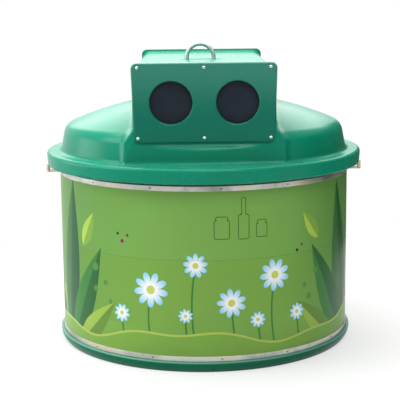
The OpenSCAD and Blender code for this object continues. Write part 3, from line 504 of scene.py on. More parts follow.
def start_heads(name, sizes, per_row):
    """A tree that numbers its heads and gives the row of each."""
    tree, given = start_tree(name, (("Own", "Geometry"), ("Head", "Object"), *sizes, ("Finish", "Material")),
                             "Heads")
    index = add(tree, "GeometryNodeInputIndex")
    later = add(tree, "Math", (index, 0.5), operation="ADD")
    share = add(tree, "Math", (later, given[per_row]), operation="DIVIDE")
    return tree, given, index, add(tree, "Math", (share,), operation="FLOOR")


def set_heads(tree, given, count, place, turn):
    """Sets one head at each place, turned about Z."""
    cloud = add(tree, "GeometryNodePoints", {"Count": count})
    position = add(tree, "CombineXYZ", place)
    rotation = add(tree, "CombineXYZ", {2: turn})
    spots = add(tree, "GeometryNodeSetPosition", {"Geometry": cloud, "Position": position})
    head = add(tree, "GeometryNodeObjectInfo", {"Object": given["Head"]})
    heads = add(tree, "GeometryNodeInstanceOnPoints", {
        "Points": spots, "Instance": head.outputs["Geometry"], "Rotation": rotation})
    return end_tree(tree, heads, given["Finish"])


def heads_round_drum_tree():
    """Sets a head at equal steps round the drum and in rows up it."""
    tree, given, index, row = start_heads("heads round drum", (
        ("Count", "Int"), ("Rows", "Int"), ("Radius", "Float"), ("Height", "Float"), ("Row pitch", "Float"),
        ("Start", "Float")), "Count")
    step = add(tree, "Math", (2 * math.pi, given["Count"]), operation="DIVIDE")
    angle = add(tree, "Math", (index, step, given["Start"]), operation="MULTIPLY_ADD")
    x, y = [add(tree, "Math", (given["Radius"], add(tree, "Math", (angle,), operation=part)),
                operation="MULTIPLY") for part in ("COSINE", "SINE")]
    z = add(tree, "Math", (row, given["Row pitch"], given["Height"]), operation="MULTIPLY_ADD")
    total = add(tree, "Math", (given["Count"], given["Rows"]), operation="MULTIPLY")
    return set_heads(tree, given, total, (x, y, z), angle)


def mottled(name, deep, pale, patches, detail, uneven=0.5, edges=None, polish=None, relief=None, **sockets):
    """A finish whose tone wanders in patches, so many to the metre. They may be cut sharp between two edges,
    and may vary the roughness (span, least) and the relief (strength, depth)."""
    material, tree, shader = start_material(name, **sockets)
    place = add(tree, "TexCoord").outputs["Object"]
    cloud = add(tree, "TexNoise", {"Vector": place, "Scale": patches, "Detail": detail, "Roughness": uneven})
    share = cloud
    if edges:
        share = add(tree, "MapRange", {"Value": cloud, "From Min": edges[0], "From Max": edges[1]})
    tone = add(tree, "Mix", {0: share, 6: linear(deep), 7: linear(pale)}, data_type="RGBA")
    give(tree, shader, {"Base Color": tone.outputs[2]})
    if polish:
        give(tree, shader, {"Roughness": add(tree, "Math", (cloud, *polish), operation="MULTIPLY_ADD")})
    if relief:
        give(tree, shader, {"Normal": add(tree, "Bump", {"Height": cloud, "Strength": relief[0],
                                                         "Distance": relief[1]})})
    return material


# Aluminium rivet heads, weathered darker than the strip and faintly pitted
rivet_metal = mottled("weathered aluminium rivet", "#5d5a52", "#a3a299", 300.0, 3.0, relief=(0.3, 0.0004),
                      Metallic=0.8, Roughness=0.45)
rivet_head = domed_head("rivet_pattern", RIVET_R, RIVET_H, mouth=0.0013, floor=0.0011, floor_z=0.0012,
                        sunk=0.0004, steps=6, count=20, material=rivet_metal)
HEADS = heads_round_drum_tree()
seam_low, seam_high = [corner[2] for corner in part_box("seam_rivets")]
seam_reach = seam_high - seam_low - 2 * RIVET_R
seam_rows = round(seam_reach / RIVET_PITCH) + 1
for name, node, count, rows, radius, height, start in (
        ("top_band_heads", "top_band_rivets", RIVETS_ROUND, 1, DRUM_R + BAND_T, sum(TOP_BAND) / 2,
         FIRST_RIVET),
        ("bottom_band_heads", "bottom_band_rivets", RIVETS_ROUND, 1, DRUM_R + BAND_T, sum(BOTTOM_BAND) / 2,
         FIRST_RIVET),
        ("seam_heads", "seam_rivets", 1, seam_rows, DRUM_R + SEAM_T, seam_low + RIVET_R, math.pi / 2)):
    heads = make_piece(name, [], [])
    run_tree(heads, HEADS, Head=rivet_head, Count=count, Rows=rows, Radius=radius, Height=height,
             Row_pitch=seam_reach / (seam_rows - 1), Start=start, Finish=rivet_metal)
    settle(heads, "drum", "rivet", node)
bpy.data.objects.remove(rivet_head)

# Base skirt
# A ring of rotation-moulded polyethylene under the drum's foot: flat below, swelling out to a rounded lip
# that covers the lower edge of the sheet. It takes the knocks when the container is set down.
SKIRT_H = 0.050
SKIRT_OUT = 0.0186
SKIRT_IN = 0.028
SKIRT_FOOT = 0.010
SKIRT_SEAT = 0.008
CHAMFER = 0.0008
LIP = 0.005
LIP_GAP = 0.0004
LIP_FADE_Z = 0.042


# Rotation-moulded polyethylene: waxy, deep green and fairly glossy, with a faint 3 mm pebble, scuffs near the
# ground, and a painted highlight that makes the lip pale where it catches the sky
def skirt_plastic():
    material, tree, shader = start_material("moulded polyethylene", Roughness=0.30, IOR=1.5,
                                            Specular_IOR_Level=0.14)
    place = add(tree, "TexCoord").outputs["Object"]
    height = add(tree, "SeparateXYZ", (place,)).outputs[2]
    cloud = add(tree, "TexNoise", {"Vector": place, "Scale": 8.0, "Detail": 6.0, "Roughness": 0.7})
    low = add(tree, "MapRange", {"Value": height, "From Min": 0.03, "From Max": 0.0})
    worn = add(tree, "Math", (low, cloud), operation="MULTIPLY")
    # Painted highlight along the lip
    lip_highlight = add(tree, "MapRange", {"Value": height, "From Min": LIP_FADE_Z, "From Max": SKIRT_H, "To Max": 0.8},
              interpolation_type="SMOOTHSTEP")
    tone = linear("#005a42")
    for share, over in ((cloud, "#006a4c"), (worn, "#3c6a59"), (lip_highlight, "#6fb09c")):
        tone = add(tree, "Mix", {0: share, 6: tone, 7: linear(over)}, data_type="RGBA").outputs[2]
    pebble = add(tree, "TexNoise", {"Vector": place, "Scale": 330.0, "Detail": 2.0})
    give(tree, shader, {
        "Base Color": tone,
        "Normal": add(tree, "Bump", {"Height": pebble, "Strength": 0.2, "Distance": 0.0004}),
        "Roughness": add(tree, "Math", (cloud, 0.20, 0.20), operation="MULTIPLY_ADD")})
    return material


skirt_green = skirt_plastic()
rise = SKIRT_H - LIP
bulge = math.hypot(2 * SKIRT_H, rise)
section = [(SKIRT_IN, CHAMFER), (SKIRT_IN - CHAMFER, 0.0)]
section += [(-(SKIRT_OUT - bulge + math.sqrt(bulge ** 2 - (rise - z) ** 2)
               - (SKIRT_OUT - SKIRT_FOOT) * (1 - z / rise) ** 2), z) for z in np.linspace(0, rise, 14)]
section += [(-(SKIRT_OUT - LIP + LIP * math.cos(t)), rise + LIP * math.sin(t))
            for t in np.linspace(0, math.pi / 2, 8)[1:]]
section += [(-LIP_GAP - 0.0007, SKIRT_H), (-LIP_GAP, SKIRT_H - 0.0007), (-LIP_GAP, SKIRT_H - 0.002),
            (-LIP_GAP, SKIRT_SEAT + 0.0002), (0.0, SKIRT_SEAT), (SKIRT_IN - CHAMFER, SKIRT_SEAT),
            (SKIRT_IN, SKIRT_SEAT - CHAMFER)]
skirt = rolled_strip("skirt_ring", section, 320, skirt_green)
settle(skirt, "drum", "skirt_moulding", "base_skirt")

# Frame, floor doors and lifting gear
# Welded steel inside the drum: rings, the hinge beam and the bridge beam are painted, and the doors, links
# and crosshead are galvanised. Shafts, pins and the rod are bright drawn bar. The solids take these finishes.


def finish_nodes(material, *names):
    for name in names:
        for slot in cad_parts[name].material_slots:
            slot.material = material


# Extruded or cut rubber: nearly black with a grey bloom, matt, with a fine 2 mm mottle
def rubber(name, deep, bloom_tint):
    material = mottled(name, deep, bloom_tint, 14.0, 8.0, Roughness=0.62, IOR=1.5, Specular_IOR_Level=0.25)
    tree = material.node_tree
    place = add(tree, "TexCoord").outputs["Object"]
    fine = add(tree, "TexNoise", {"Vector": place, "Scale": 500.0, "Detail": 1.0})
    give(tree, tree.nodes["Principled BSDF"], {
        "Normal": add(tree, "Bump", {"Height": fine, "Strength": 0.25, "Distance": 0.0004})})
    return material


# Chassis paint on welded steel: dark green-grey, half gloss, with brush marks and rust freckles
finish_nodes(mottled("chassis paint", "#33403b", "#5a4636", 18.0, 8.0, uneven=0.7, edges=(0.60, 0.72),
                     relief=(0.4, 0.001), Roughness=0.48),
             "base_ring", "hinge_beam", "top_ring", "bridge_beam", "mast_tube")
finish_nodes(zinc, "door_left", "door_right", "link_left", "link_right", "crosshead", "catch_bracket_left",
             "catch_bracket_right", "keeper_left", "keeper_right", "ring_head")

# Bright drawn bar: smooth steel with a film of grease that dulls it in patches
finish_nodes(mottled("bright drawn bar", "#86857f", "#bfc1c0", 30.0, 4.0, polish=(0.3, 0.14), Metallic=1.0,
                     Roughness=0.28),
             "hinge_shaft_left", "hinge_shaft_right", "lift_rod", "guide_stub", "index_pin", "link_left_pins",
             "link_right_pins", "front_flap_rod", "rear_flap_rod")
finish_nodes(rubber("extruded seal rubber", "#161718", "#2b2d2e"), "door_seal", "lid_gasket")

# Turned acetal: off-white and waxy, greyed by wear
finish_nodes(mottled("turned acetal", "#cfc8ae", "#e5dfca", 40.0, 4.0, Roughness=0.4, IOR=1.48),
             "rod_bushes", "index_sleeve")
finish_nodes(skirt_green, "rain_tray")

# Lifting ring
# Round steel bar, 22 mm thick, bent to an arch and welded into the head of the rod, then hot-dip galvanised.
# It stands over the roof in a slot and takes the crane's hook.
RING_SHIFT = 0.012
RING_R = 0.0695
RING_BAR = 0.011
RING_MID = 1.4515
RING_FOOT = 1.373
BEAD_R = 0.0030
BEAD_RIPPLE = 0.0006

ring_zinc = galvanised("galvanised ring", "#b2c2bc", "#8a9c96", 0.46, crystal=0.010)
path = [(-RING_R, z) for z in np.linspace(RING_FOOT, RING_MID, 6)[:-1]]
path += [(-RING_R * math.cos(t), RING_MID + RING_R * math.sin(t)) for t in np.linspace(0, math.pi, 49)]
path += [(RING_R, z) for z in np.linspace(RING_MID, RING_FOOT, 6)[1:]]
points, faces, loops = [], [], []
around = [2 * math.pi * j / 24 for j in range(24)]
for i, (x, z) in enumerate(path):
    ahead = np.array(path[min(i + 1, len(path) - 1)]) - np.array(path[max(i - 1, 0)])
    ahead = ahead / np.linalg.norm(ahead)
    loops.append([(x - RING_SHIFT - ahead[1] * RING_BAR * math.cos(t), RING_BAR * math.sin(t),
                   z + ahead[0] * RING_BAR * math.cos(t)) for t in around])
strips(points, faces, loops)
faces += [tuple(range(len(around))), tuple(range(len(points) - len(around), len(points)))]
ring = make_piece("ring_bar", points, faces, ring_zinc)
weld(ring)
settle(ring, "lifting_gear", "galvanised", "lifting_ring")

# Weld beads where the ring's legs enter the head: a ring of small overlapping ripples, 6 mm wide
head_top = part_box("ring_head")[1][2]
points, faces = [], []
for leg in (-1, 1):
    loops = []
    for t in [2 * math.pi * i / 72 for i in range(72)]:
        size = BEAD_R + BEAD_RIPPLE * abs(math.sin(12 * t))
        bead = [(RING_BAR + 0.0008 + size * math.cos(s), head_top + 0.0006 + size * math.sin(s))
                for s in [2 * math.pi * j / 8 for j in range(8)]]
        loops.append([(leg * RING_R - RING_SHIFT + reach * math.cos(t), reach * math.sin(t), z)
                      for reach, z in bead])
    strips(points, faces, loops, ring=True)
beads = make_piece("ring_welds", points, faces, ring_zinc)
weld(beads)
settle(beads, "lifting_gear", "galvanised")

# Lid
# One glass-fibre moulding about 6 mm thick: a hanging rim, a flat flange, a crowned dome, and a hood that
# runs from front to rear with flared shoulders, bowed lower walls and a slot in its roof for the ring. The
# form is the smooth sum of these bodies, as the mould's blended corners are.
FLANGE_Z = 0.986
FLANGE_T = 0.008
WALL_R = 0.742
WALL_LEAN = math.radians(10.8)
SHOULDER_R = 0.070
CROWN_R = 1.760
CROWN_Z = FLANGE_Z + 0.282 - CROWN_R
HOOD_Y = 0.640
HOOD_HALF = 0.338
HOOD_EDGE = 0.009
HOOD_FILLET = 0.034
ROOF_Z = 1.443
ROOF_R = 0.048
ROOF_TURN_UP = 0.030
FLARE = 0.042
FLARE_Z = 1.084
FLARE_H = 0.076
APRON_BOW = 0.031
APRON_HALF = 0.380
APRON_BACK = 0.003
APRON_SIDE_R = 0.004
APRON_FILLET = 0.010
LEDGE_Z = 1.084
LEDGE_R = 0.007
LEDGE_SLOPE = (0.65, 0.76)
RIM_R = 0.8155
RIM_LOW = 0.914
RIM_LEAN = 0.058
RIM_LEAN_Z = 0.9735
RIM_TOP_R = 0.019
RIM_LOW_R = 0.008
RIM_FILLET = 0.020
FLANGE_RISE = 0.002
FLANGE_W = 0.059
WELL_HALF = 0.0745
WELL_R = 0.030
WELL_LOW = 1.2417
WELL_MOUTH_R = 0.014
WINDOW = (0.298, 1.128, 1.424)
LID_T = 0.0055
PLATE_TOP = 1.463
GRID = 0.0105

wall_n = np.array((math.cos(WALL_LEAN), math.sin(WALL_LEAN)))
wall_u = np.array((-wall_n[1], wall_n[0]))
offset = np.array((WALL_R, FLANGE_Z - CROWN_Z)) - SHOULDER_R * wall_n
along_wall = (-offset @ wall_u
              + math.sqrt((offset @ wall_u) ** 2 - offset @ offset + (CROWN_R - SHOULDER_R) ** 2))
shoulder_mid = offset + along_wall * wall_u
shoulder_top = math.atan2(shoulder_mid[1], shoulder_mid[0])
bow_r = (APRON_HALF ** 2 + APRON_BOW ** 2) / (2 * APRON_BOW)


def rounded(a, b, radius):
    """Where two faces meet at an outer edge: both distances, with the edge rounded to the radius."""
    a, b = a + radius, b + radius
    return np.hypot(np.maximum(a, 0), np.maximum(b, 0)) + np.minimum(np.maximum(a, b), 0) - radius


def blended(a, b, reach):
    """Where two bodies meet at an inner corner: the nearer one, with a fillet of the given reach."""
    near = np.maximum(reach - np.abs(a - b), 0) / reach
    return np.minimum(a, b) - near * near * reach / 4


def well_distance(x, y):
    return np.hypot(np.maximum(np.abs(x) - WELL_HALF, 0), y) - WELL_R


def lid_distance(x, y, z):
    """Signed distance to the lid's outer form, negative inside."""
    r, past_end = np.hypot(x, y), np.abs(y) - HOOD_Y

    # Dome: a leaning wall and a crown with a round shoulder between them, cut off at the hood's ends
    across, up = r - shoulder_mid[0], z - CROWN_Z - shoulder_mid[1]
    angle = np.arctan2(up, across)
    wall = (r - WALL_R) * wall_n[0] + (z - FLANGE_Z) * wall_n[1]
    crown = np.hypot(r, z - CROWN_Z) - CROWN_R
    dome = np.where((angle > WALL_LEAN) & (angle < shoulder_top), np.hypot(across, up) - SHOULDER_R,
                    np.maximum(wall, crown))
    dome = np.maximum(dome, past_end + 0.001)

    # Hood: its sides flare out below, and its roof turns up behind the plates
    t = np.clip((z - FLARE_Z) / FLARE_H, 0, 1)
    half = HOOD_HALF + FLARE * (1 - t * t * (3 - 2 * t))
    near_end = np.clip((past_end + FLANGE_T + ROOF_TURN_UP) / ROOF_TURN_UP, 0, 0.999)
    lift = np.minimum(ROOF_TURN_UP * (1 - np.sqrt(1 - near_end ** 2)), PLATE_TOP - 0.005 - ROOF_Z)
    hood = rounded(rounded(np.abs(x) - half, z - ROOF_Z - lift, ROOF_R), past_end, HOOD_EDGE)

    # Bowed wall below each plate, closed by a sloping ledge
    bow = np.hypot(x, past_end + bow_r + APRON_BACK - APRON_BOW) - bow_r
    ledge = np.maximum(past_end * LEDGE_SLOPE[0] + (z - LEDGE_Z) * LEDGE_SLOPE[1], z - LEDGE_Z)
    apron = rounded(rounded(bow, np.abs(x) - APRON_HALF + 0.002, APRON_SIDE_R), ledge, LEDGE_R)

    # Flange and hanging rim, then the well that is let into the roof
    face = r - RIM_R + RIM_LEAN * np.maximum(RIM_LEAN_Z - z, 0)
    top = z - FLANGE_Z - FLANGE_RISE * np.clip((r - WALL_R) / FLANGE_W, 0, 1)
    rim = rounded(rounded(face, top, RIM_TOP_R), RIM_LOW - z, RIM_LOW_R)
    form = blended(blended(blended(dome, hood, HOOD_FILLET), apron, APRON_FILLET), rim, RIM_FILLET)
    well = np.maximum(well_distance(x, y), WELL_LOW - z)
    return -blended(-form, well, WELL_MOUTH_R)


def slope_of(distance, points):
    """Which way the distance grows at each point."""
    return np.stack([(distance(*(points + e).T) - distance(*(points - e).T)) / 2e-4
                     for e in np.eye(3) * 1e-4], axis=1)


def surface_of(distance, low, high, step):
    """Quad mesh of the zero surface: one point in each grid cell that it crosses, pulled on to it."""
    axes = [np.arange(a, b + step, step) for a, b in zip(low, high)]
    values = distance(*np.meshgrid(*axes, indexing="ij"))
    inside = values < 0
    size = np.array(inside.shape)
    corners = [np.array((i, j, k)) for i in (0, 1) for j in (0, 1) for k in (0, 1)]
    held = sum(inside[c[0]:size[0] - 1 + c[0], c[1]:size[1] - 1 + c[1], c[2]:size[2] - 1 + c[2]].astype(int)
               for c in corners)
    cells = np.argwhere((held > 0) & (held < 8))
    index = -np.ones(size - 1, int)
    index[tuple(cells.T)] = np.arange(len(cells))
    total, count = np.zeros((len(cells), 3)), np.zeros(len(cells))
    for a in corners:
        for axis in range(3):
            if a[axis]:
                continue
            b = a.copy()
            b[axis] = 1
            va, vb = values[tuple((cells + a).T)], values[tuple((cells + b).T)]
            cross = (va < 0) != (vb < 0)
            share = np.where(cross, va / np.where(va == vb, 1, va - vb), 0)
            total += np.where(cross[:, None], cells + a + share[:, None] * (b - a), 0)
            count += cross
    points = np.array(low) + total / count[:, None] * step
    for _ in range(4):
        value, slope = distance(*points.T), slope_of(distance, points)
        pull = value[:, None] * slope / np.maximum((slope ** 2).sum(axis=1), 0.2)[:, None]
        points -= np.clip(pull, -step / 3, step / 3)
    faces = []
    for axis in range(3):
        sides = (axis + 1) % 3, (axis + 2) % 3
        u, v = np.eye(3, dtype=int)[list(sides)]
        start = np.take(inside, np.arange(size[axis] - 1), axis)
        stop = np.take(inside, np.arange(1, size[axis]), axis)
        edge = np.argwhere(start != stop)
        for side in sides:
            edge = edge[(edge[:, side] >= 1) & (edge[:, side] <= size[side] - 2)]
        quad = np.stack([index[tuple((edge - u - v).T)], index[tuple((edge - v).T)],
                         index[tuple(edge.T)], index[tuple((edge - u).T)]], axis=1)
        outward = start[tuple(edge.T)]
        faces.append(np.where(outward[:, None], quad, quad[:, ::-1]))
    return points, np.concatenate(faces)


# Glossy gel coat on glass fibre: bluish green, mirror-like under the sky, with a slow 140 mm unevenness of
# the laminate and a fine 5 mm peel. Thin dust with painted sky light makes the upward flats paler in specks,
# and a painted highlight makes the plates paler towards their tops
def gel_coat(name, deep, pale, roughness, gloss, top_highlight=0.0):
    material, tree, shader = start_material(name, Roughness=roughness, IOR=1.5, Specular_IOR_Level=gloss)
    place = add(tree, "TexCoord").outputs["Object"]
    cloud = add(tree, "TexNoise", {"Vector": place, "Scale": 4.0, "Detail": 7.0, "Roughness": 0.6})
    upward = add(tree, "SeparateXYZ", (add(tree, "NewGeometry").outputs["Normal"],)).outputs[2]
    flat = add(tree, "MapRange", {"Value": upward, "From Min": 0.75, "From Max": 1.0})
    specks = add(tree, "TexNoise", {"Vector": place, "Scale": 9.0, "Detail": 4.0})
    # Thin dust and painted sky light: the upward flats go paler mint in specks
    dust_and_sky_light = add(tree, "Math", (flat, specks), operation="MULTIPLY")
    dust_and_sky_light_share = add(tree, "Math", (dust_and_sky_light, 0.14), operation="MULTIPLY")
    height = add(tree, "SeparateXYZ", (place,)).outputs[2]
    # Painted highlight: the plates go paler towards their tops
    upper = add(tree, "MapRange", {"Value": height, "From Min": 1.20, "From Max": 1.45, "To Max": top_highlight},
                interpolation_type="SMOOTHSTEP")
    tone = linear(deep)
    for share, over in ((cloud, pale), (dust_and_sky_light_share, "#7fd6b8"), (upper, "#5fa391")):
        tone = add(tree, "Mix", {0: share, 6: tone, 7: linear(over)}, data_type="RGBA").outputs[2]
    wave = add(tree, "TexNoise", {"Vector": place, "Scale": 7.0, "Detail": 1.0})
    peel = add(tree, "TexNoise", {"Vector": place, "Scale": 220.0, "Detail": 1.0})
    relief = add(tree, "Math", (wave, 100.0, peel), operation="MULTIPLY_ADD")
    give(tree, shader, {
        "Base Color": tone,
        "Normal": add(tree, "Bump", {"Height": relief, "Strength": 0.10, "Distance": 0.00004}),
        "Roughness": add(tree, "Math", (cloud, 0.12, roughness - 0.06), operation="MULTIPLY_ADD")})
    return material


lid_green = gel_coat("gel coat, lid", "#007d61", "#028a6c", 0.27, 0.16)
reach = RIM_R + 0.012
points, faces = surface_of(lid_distance, (-reach, -reach, RIM_LOW - 0.012),
                           (reach, reach, ROOF_Z + 0.012), GRID)

# The form is opened below the rim, at the window behind each plate and at the foot of the well
x, y, z = points[faces].mean(axis=1).T
below = (z < RIM_LOW + 0.003) & (np.hypot(x, y) < RIM_R - 0.014)
window = (np.abs(y) > HOOD_Y - 0.002) & (np.abs(x) < WINDOW[0]) & (z > WINDOW[1]) & (z < WINDOW[2])
well_floor = (z < WELL_LOW + 0.006) & (z > WELL_LOW - 0.02) & (well_distance(x, y) < -0.004)
faces = faces[~(below | window | well_floor)]


def open_edges(faces):
    """Edges that only one face uses, in that face's own direction."""
    edges = np.concatenate([faces[:, [i, (i + 1) % 4]] for i in range(4)])
    _, back, uses = np.unique(np.sort(edges, axis=1), axis=0, return_inverse=True, return_counts=True)
    return edges[uses[back.reshape(-1)] == 1]


# The points round each opening are drawn on to its true edge
for i in np.unique(open_edges(faces)):
    x, y, z = points[i]
    if z < RIM_LOW + 0.02:
        scale = (RIM_R - 0.012) / math.hypot(x, y)
        points[i] = (x * scale, y * scale, RIM_LOW)
    elif abs(y) > HOOD_Y - 0.02:
        sides = (abs(abs(x) - WINDOW[0]), abs(z - WINDOW[1]), abs(z - WINDOW[2]))
        nearest = sides.index(min(sides))
        points[i] = (math.copysign(WINDOW[0], x) if nearest == 0 else x, math.copysign(HOOD_Y, y),
                     z if nearest == 0 else WINDOW[nearest])
    else:
        straight = max(-WELL_HALF, min(WELL_HALF, x))
        scale = WELL_R / max(math.hypot(x - straight, y), 1e-6)
        points[i] = (straight + (x - straight) * scale, y * scale, WELL_LOW)
used, faces = np.unique(faces, return_inverse=True)
faces, points = faces.reshape(-1, 4), points[used]

# The inner skin lies under the outer one, and the two are joined round the openings
outward = slope_of(lid_distance, points)
outward /= np.linalg.norm(outward, axis=1)[:, None]
count, edges = len(points), open_edges(faces)
turned_in = np.stack([edges[:, 1], edges[:, 0], edges[:, 0] + count, edges[:, 1] + count], axis=1)
lid = make_piece("lid_moulding", np.concatenate([points, points - LID_T * outward]),
                 np.concatenate([faces, faces[:, ::-1] + count, turned_in]), lid_green)

# Each corner is shaded along the true slope; where a face spans a sharp turn, its corners look further in
at_corner = outward[faces]
turn = np.einsum("nij,nkj->nik", at_corner, at_corner).min(axis=(1, 2))
sharp = np.where(turn < 0.9)[0]
pulled = points[faces[sharp]] * 0.55 + points[faces[sharp]].mean(axis=1)[:, None] * 0.45
slope = slope_of(lid_distance, pulled.reshape(-1, 3))
at_corner[sharp] = (slope / np.linalg.norm(slope, axis=1)[:, None]).reshape(-1, 4, 3)
shading = np.zeros((len(lid.data.loops), 3))
shading[:faces.size] = at_corner.reshape(-1, 3)
shading[faces.size:2 * faces.size] = -at_corner[:, ::-1].reshape(-1, 3)
lid.data.normals_split_custom_set(shading.tolist())
settle(lid, "lid", "lid_moulding", "lid_shell")

# Inlet plates
# A separate gloss moulding at each end of the hood, with a turned edge 20 mm deep, two lipped round inlets of
# 200 mm, and six screws. It stands a little wider than the hood.
ENDS = ((-1, "front"), (1, "rear"))
PLATE_LOW = 1.089
PLATE_HALF = 0.341
PLATE_TAPER = 0.010
PLATE_R = 0.028
PLATE_FACE = 0.660
PLATE_T = 0.005
PLATE_EDGE = 0.008
FLAT_MARGIN = 0.0015
INLET_R = 0.100
INLET_X = 0.156
INLET_Z = 1.278
INLET_LIP = 0.009


def plate_outline(inset=0.0, steps=10):
    """Points of the plate's outline, anticlockwise from the lower right; each corner is a true arc."""
    out = []
    low, high = PLATE_HALF - PLATE_TAPER - PLATE_R, PLATE_HALF - PLATE_R
    for x, z, start in ((low, PLATE_LOW + PLATE_R, -90), (high, PLATE_TOP - PLATE_R, 0),
                        (-high, PLATE_TOP - PLATE_R, 90), (-low, PLATE_LOW + PLATE_R, 180)):
        for i in range(steps + 1):
            t = math.radians(start + 90 * i / steps)
            out.append((x + (PLATE_R - inset) * math.cos(t), z + (PLATE_R - inset) * math.sin(t)))
    return out


def inlet_outline(side, grow, count=96):
    """Points of one inlet's circle, grown by the given width."""
    return [(side * INLET_X + (INLET_R + grow) * math.cos(2 * math.pi * i / count),
             INLET_Z + (INLET_R + grow) * math.sin(2 * math.pi * i / count)) for i in range(count)]


def rolled_over(outline, edge, depths):
    """Loops that round over from the plate's face and run on to the given depths."""
    loops = [[(x, -PLATE_FACE, z) for x, z in outline(edge + FLAT_MARGIN)]]
    for t in [math.radians(18 * i) for i in range(6)]:
        loops.append([(x, -PLATE_FACE + edge * (1 - math.cos(t)), z)
                      for x, z in outline(edge * (1 - math.sin(t)))])
    return loops + [[(x, y, z) for x, z in outline(0.0)] for y in (-PLATE_FACE + edge + FLAT_MARGIN, *depths)]


def fill_flat(points, faces, starts):
    """Fills the flat area between an outer loop and holes, each given as (first index, size)."""
    rings = [[Vector((points[a + i][0], points[a + i][2], 0.0)) for i in range(n)] for a, n in starts]
    lookup = [a + i for a, n in starts for i in range(n)]
    for triangle in tessellate_polygon(rings):
        faces.append(tuple(lookup[i] for i in triangle))


def at_end(points, end):
    """Turns front points half way round for the rear end."""
    return points if end < 0 else [(-x, -y, z) for x, y, z in points]


# The plates carry a painted highlight towards their tops
plate_green = gel_coat("gel coat, plates", "#006855", "#01725b", 0.24, 0.18, top_highlight=0.30)
for end, name in ENDS:
    points, faces, starts = [], [], []
    for loops in (rolled_over(plate_outline, PLATE_EDGE, (-HOOD_Y - 0.001, -HOOD_Y)),
                  rolled_over(lambda grow: inlet_outline(-1, grow), INLET_LIP, (-HOOD_Y,)),
                  rolled_over(lambda grow: inlet_outline(1, grow), INLET_LIP, (-HOOD_Y,))):
        starts.append((strips(points, faces, loops), len(loops[0])))
    fill_flat(points, faces, starts)
    plate = make_piece("inlet_plate_" + name, at_end(points, end), faces, plate_green)
    weld(plate, 1e-6)
    front = next(f for f in plate.data.polygons if abs(f.normal.y) > 0.99 and f.area > 1e-4)
    if front.normal.y * end < 0:
        plate.data.flip_normals()
    skin = plate.modifiers.new("thickness", "SOLIDIFY")
    skin.thickness = PLATE_T
    skin.offset = -1.0
    settle(plate, "lid", "plate_moulding", name + "_plate")

# End flanges of the hood: the moulding's turned frame round each window, 8 mm thick, that the plate is
# screwed to. Its outer arrises are a little rounded.
FLANGE_INSET = 0.004
FLANGE_R = 0.0015
FLANGE_ARRIS = 0.0004
for end, name in ENDS:
    points, faces, outer = [], [], []
    near, far = -HOOD_Y + 0.0003, -HOOD_Y + FLANGE_T
    for y, into in ((near, 1), (far, -1)):
        edge = [(FLANGE_INSET + FLANGE_R, y), (FLANGE_INSET + FLANGE_ARRIS, y + into * FLANGE_ARRIS),
                (FLANGE_INSET, y + into * FLANGE_R)]
        outer += edge[::into]
    a = strips(points, faces, [[(x, y, z) for x, z in plate_outline(inset)] for inset, y in outer])
    count = len(plate_outline())
    half, low, high = WINDOW[0] - 0.001, WINDOW[1] + 0.001, WINDOW[2] - 0.001
    b = strips(points, faces, [[(half, y, low), (half, y, high), (-half, y, high), (-half, y, low)]
                               for y in (near, far)])
    fill_flat(points, faces, [(a, count), (b, 4)])
    fill_flat(points, faces, [(a + 5 * count, count), (b + 4, 4)])
    flange = make_piece("hood_flange_" + name, at_end(points, end), faces, lid_green, smooth=False)
    weld(flange, 1e-6)
    settle(flange, "lid", "lid_moulding")

# Lugs behind each plate that carry the flap rod, moulded with the plate: small rounded blocks 8 mm wide, each
# drawn from its side as (depth, height)
LUG_SIDE = ((-0.6555, 1.389), (-0.622, 1.389), (-0.619, 1.392), (-0.619, 1.404), (-0.622, 1.407),
            (-0.6555, 1.407))
LUG_HALF = 0.004
for end, name in ENDS:
    points, faces = [], []
    for x in (-0.286, 0.0, 0.286):
        a = strips(points, faces, [[(x + half, y, z) for y, z in LUG_SIDE] for half in (-LUG_HALF, LUG_HALF)])
        faces += [tuple(range(a, a + 6)), tuple(range(a + 6, a + 12))]
    lugs = make_piece("flap_lugs_" + name, at_end(points, end), faces, plate_green, smooth=False)
    weld(lugs, 1e-6)
    settle(lugs, "lid", "plate_moulding")

# Plate screws
# Dome-headed stainless screws, 17 mm across, with a socket, three along the top and three along the bottom of
# each plate. One head is turned and the rule sets it in rows at both ends of the hood.
SCREW_R = 0.0085
SCREW_H = 0.005
SCREW_SPACING = 0.311
SCREW_ROWS = (1.112, 1.4415)


def heads_on_plates_tree():
    """Sets a head in columns and rows on the front face and, turned half way round, on the rear face."""
    tree, given, index, row = start_heads("heads on plates", (
        ("Columns", "Int"), ("Spacing", "Float"), ("Low", "Float"), ("High", "Float"), ("Face", "Float")),
        "Columns")
    before = add(tree, "Math", (row, given["Columns"]), operation="MULTIPLY")
    column = add(tree, "Math", (index, before), operation="SUBTRACT")
    upper = add(tree, "Math", (row, 2.0), operation="MODULO")
    later = add(tree, "Math", (row, 0.5), operation="ADD")
    rear = add(tree, "Math", (add(tree, "Math", (later, 0.5), operation="MULTIPLY"),), operation="FLOOR")
    facing = add(tree, "Math", (rear, 2.0, -1.0), operation="MULTIPLY_ADD")
    middle = add(tree, "Math", (given["Columns"], 0.5, -0.5), operation="MULTIPLY_ADD")
    off_middle = add(tree, "Math", (column, middle), operation="SUBTRACT")
    x = add(tree, "Math", (off_middle, given["Spacing"]), operation="MULTIPLY")
    y = add(tree, "Math", (facing, given["Face"]), operation="MULTIPLY")
    rise = add(tree, "Math", (given["High"], given["Low"]), operation="SUBTRACT")
    z = add(tree, "Math", (upper, rise, given["Low"]), operation="MULTIPLY_ADD")
    total = add(tree, "Math", (given["Columns"], 4.0), operation="MULTIPLY")
    return set_heads(tree, given, total, (x, y, z),
                     add(tree, "Math", (facing, math.pi / 2), operation="MULTIPLY"))


